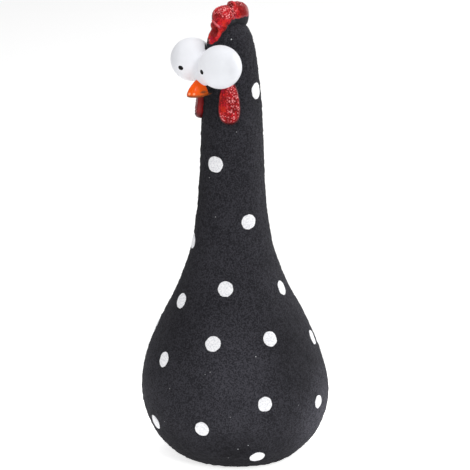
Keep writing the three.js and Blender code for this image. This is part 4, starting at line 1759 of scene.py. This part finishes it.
@dataclass
class Studio:
    """The floor, the soft lights and the camera.

    Each softbox is a name, a place, the length of its side and its power.
    """

    azimuth: float = 50.67
    elevation: float = 17.0
    distance: float = 1.806
    target: Spot = (0.0, 0.0, 0.1419)
    sensor: float = 36.0
    focal_pixels: float = 2800.0
    target_pixel: Span = (235.47, 239.85)
    white: Colour = (1, 1, 1, 1)
    black: Colour = (0, 0, 0, 1)
    pale: Colour = (0.95, 0.95, 0.95, 1)
    half_side: float = 8.0
    roughness: float = 0.9
    sky: float = 0.62
    shadow_fill_glow: float = 0.7
    glow_reach: Span = (0.08, 0.2)
    softboxes: tuple[tuple[str, Spot, float, float], ...] = (
        ("overhead", (0.0, 0.3, 2.5), 2.2, 26.0),
        ("key", (1.75, -0.5, 1.4), 0.35, 9.0),
        ("rim", (0.25, 1.6, 0.55), 0.8, 16.0),
    )

    def floor(self) -> None:
        """A seamless pale floor that glows where the hen stands, though it is no lamp: painted
        light that fills in its shadow.
        """
        side = self.half_side / MM
        corners = [(-side, -side, 0), (side, -side, 0), (side, side, 0), (-side, side, 0)]
        piece = make_piece("floor", np.array(corners), [(0, 1, 2, 3)])
        material = bpy.data.materials.new("pale_floor")
        material.use_nodes = True
        graph = Graph(material.node_tree)
        away = graph.vector("LENGTH", graph.add("ShaderNodeTexCoord", out="Object"))
        # Painted light: an emission ring around the hen washes out its shadow on the floor.
        shadow_fill_glow = graph.blend(away.ramp(*self.glow_reach), self.white, self.black)
        shader = material.node_tree.nodes["Principled BSDF"]
        shader.inputs["Base Color"].default_value = self.pale
        shader.inputs["Roughness"].default_value = self.roughness
        shader.inputs["Specular IOR Level"].default_value = 0.0
        material.node_tree.links.new(shadow_fill_glow.socket, shader.inputs["Emission Color"])
        shader.inputs["Emission Strength"].default_value = self.shadow_fill_glow
        piece.data.materials.append(material)

    def lights(self) -> None:
        """An even sky and three softboxes that face the hen."""
        world = bpy.data.worlds.new("sky")
        world.use_nodes = True
        bpy.context.scene.world = world
        sky = world.node_tree.nodes["Background"]
        sky.inputs["Color"].default_value = self.white
        sky.inputs["Strength"].default_value = self.sky
        for name, place, side, power in self.softboxes:
            lamp = bpy.data.lights.new(name, "AREA")
            lamp.size = side
            lamp.energy = power
            light = bpy.data.objects.new(name, lamp)
            light.location = place
            way = Vector(self.target) - Vector(place)
            light.rotation_euler = way.to_track_quat("-Z", "Y").to_euler()
            link(light)

    def camera(self) -> None:
        """The camera at the photograph's angle."""
        turn, tilt = math.radians(self.azimuth), math.radians(self.elevation)
        level = math.cos(tilt)
        ahead = Vector((-math.sin(turn) * level, math.cos(turn) * level, -math.sin(tilt)))
        data = bpy.data.cameras.new("camera")
        data.sensor_width = self.sensor
        data.lens = data.sensor_width * self.focal_pixels / IMAGE
        data.shift_x = (IMAGE / 2 - self.target_pixel[0]) / IMAGE
        data.shift_y = (self.target_pixel[1] - IMAGE / 2) / IMAGE
        view = bpy.data.objects.new("camera", data)
        view.location = Vector(self.target) - ahead * self.distance
        view.rotation_euler = ahead.to_track_quat("-Z", "Y").to_euler()
        link(view)
        bpy.context.scene.camera = view
        bpy.context.scene.view_settings.view_transform = "Standard"


def main() -> None:
    """Builds the studio and the pieces in order."""
    logging.basicConfig(level=logging.INFO, format="%(name)s %(message)s")
    studio = Studio()
    studio.camera()
    studio.floor()
    studio.lights()

    cast = CastBody()
    body = cast.build()
    form = duplicate(body, "smooth_body")
    cast.roughen(body)
    grains = cast.grains(body, "sand_grains", 240, 0.3, 7, CastBlack())
    cast.dress(body, CastBlack(), "body_shell")
    cast.dress(grains, CastBlack())

    dabs = Dabs()
    spots = sorted(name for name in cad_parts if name.startswith("spot_"))
    dabs.dress(dabs.build(form, spots), DabWhite(), *spots)
    bpy.data.objects.remove(form)

    eyes = Eyes()
    for side, hand in ((1, "left"), (-1, "right")):
        eyes.dress(eyes.ball(f"{hand}_eyeball", side), WhiteEnamel(), f"{hand}_eye")
        bead = eyes.pupil(f"{hand}_pupil_bead", f"{hand}_pupil", side)
        eyes.dress(bead, PupilBlack(), f"{hand}_pupil")

    beak = Beak()
    beak.dress(beak.build(), OrangeEnamel(), "beak")

    wattles = Wattles()
    for side, hand in ((1, "left"), (-1, "right")):
        drop, paint = wattles.build(f"{hand}_drop", side), RedPaint()
        drop = pebbled(drop, f"{hand}_pebbles", wattles.pebble, wattles.relief, paint)
        wattles.dress(drop, paint, f"{hand}_wattle")

    comb = Comb()
    paint = RedPaint(label="lapped_coat", lapped=True)
    lobes = pebbled(comb.build(), "comb_pebbles", comb.pebble, comb.relief, paint)
    comb.dress(lobes, paint, "comb")

    base = Base()
    base.dress(base.felt(), Felt(), "base_felt")
    base.dress_stopper()


if __name__ == "__main__":
    main()
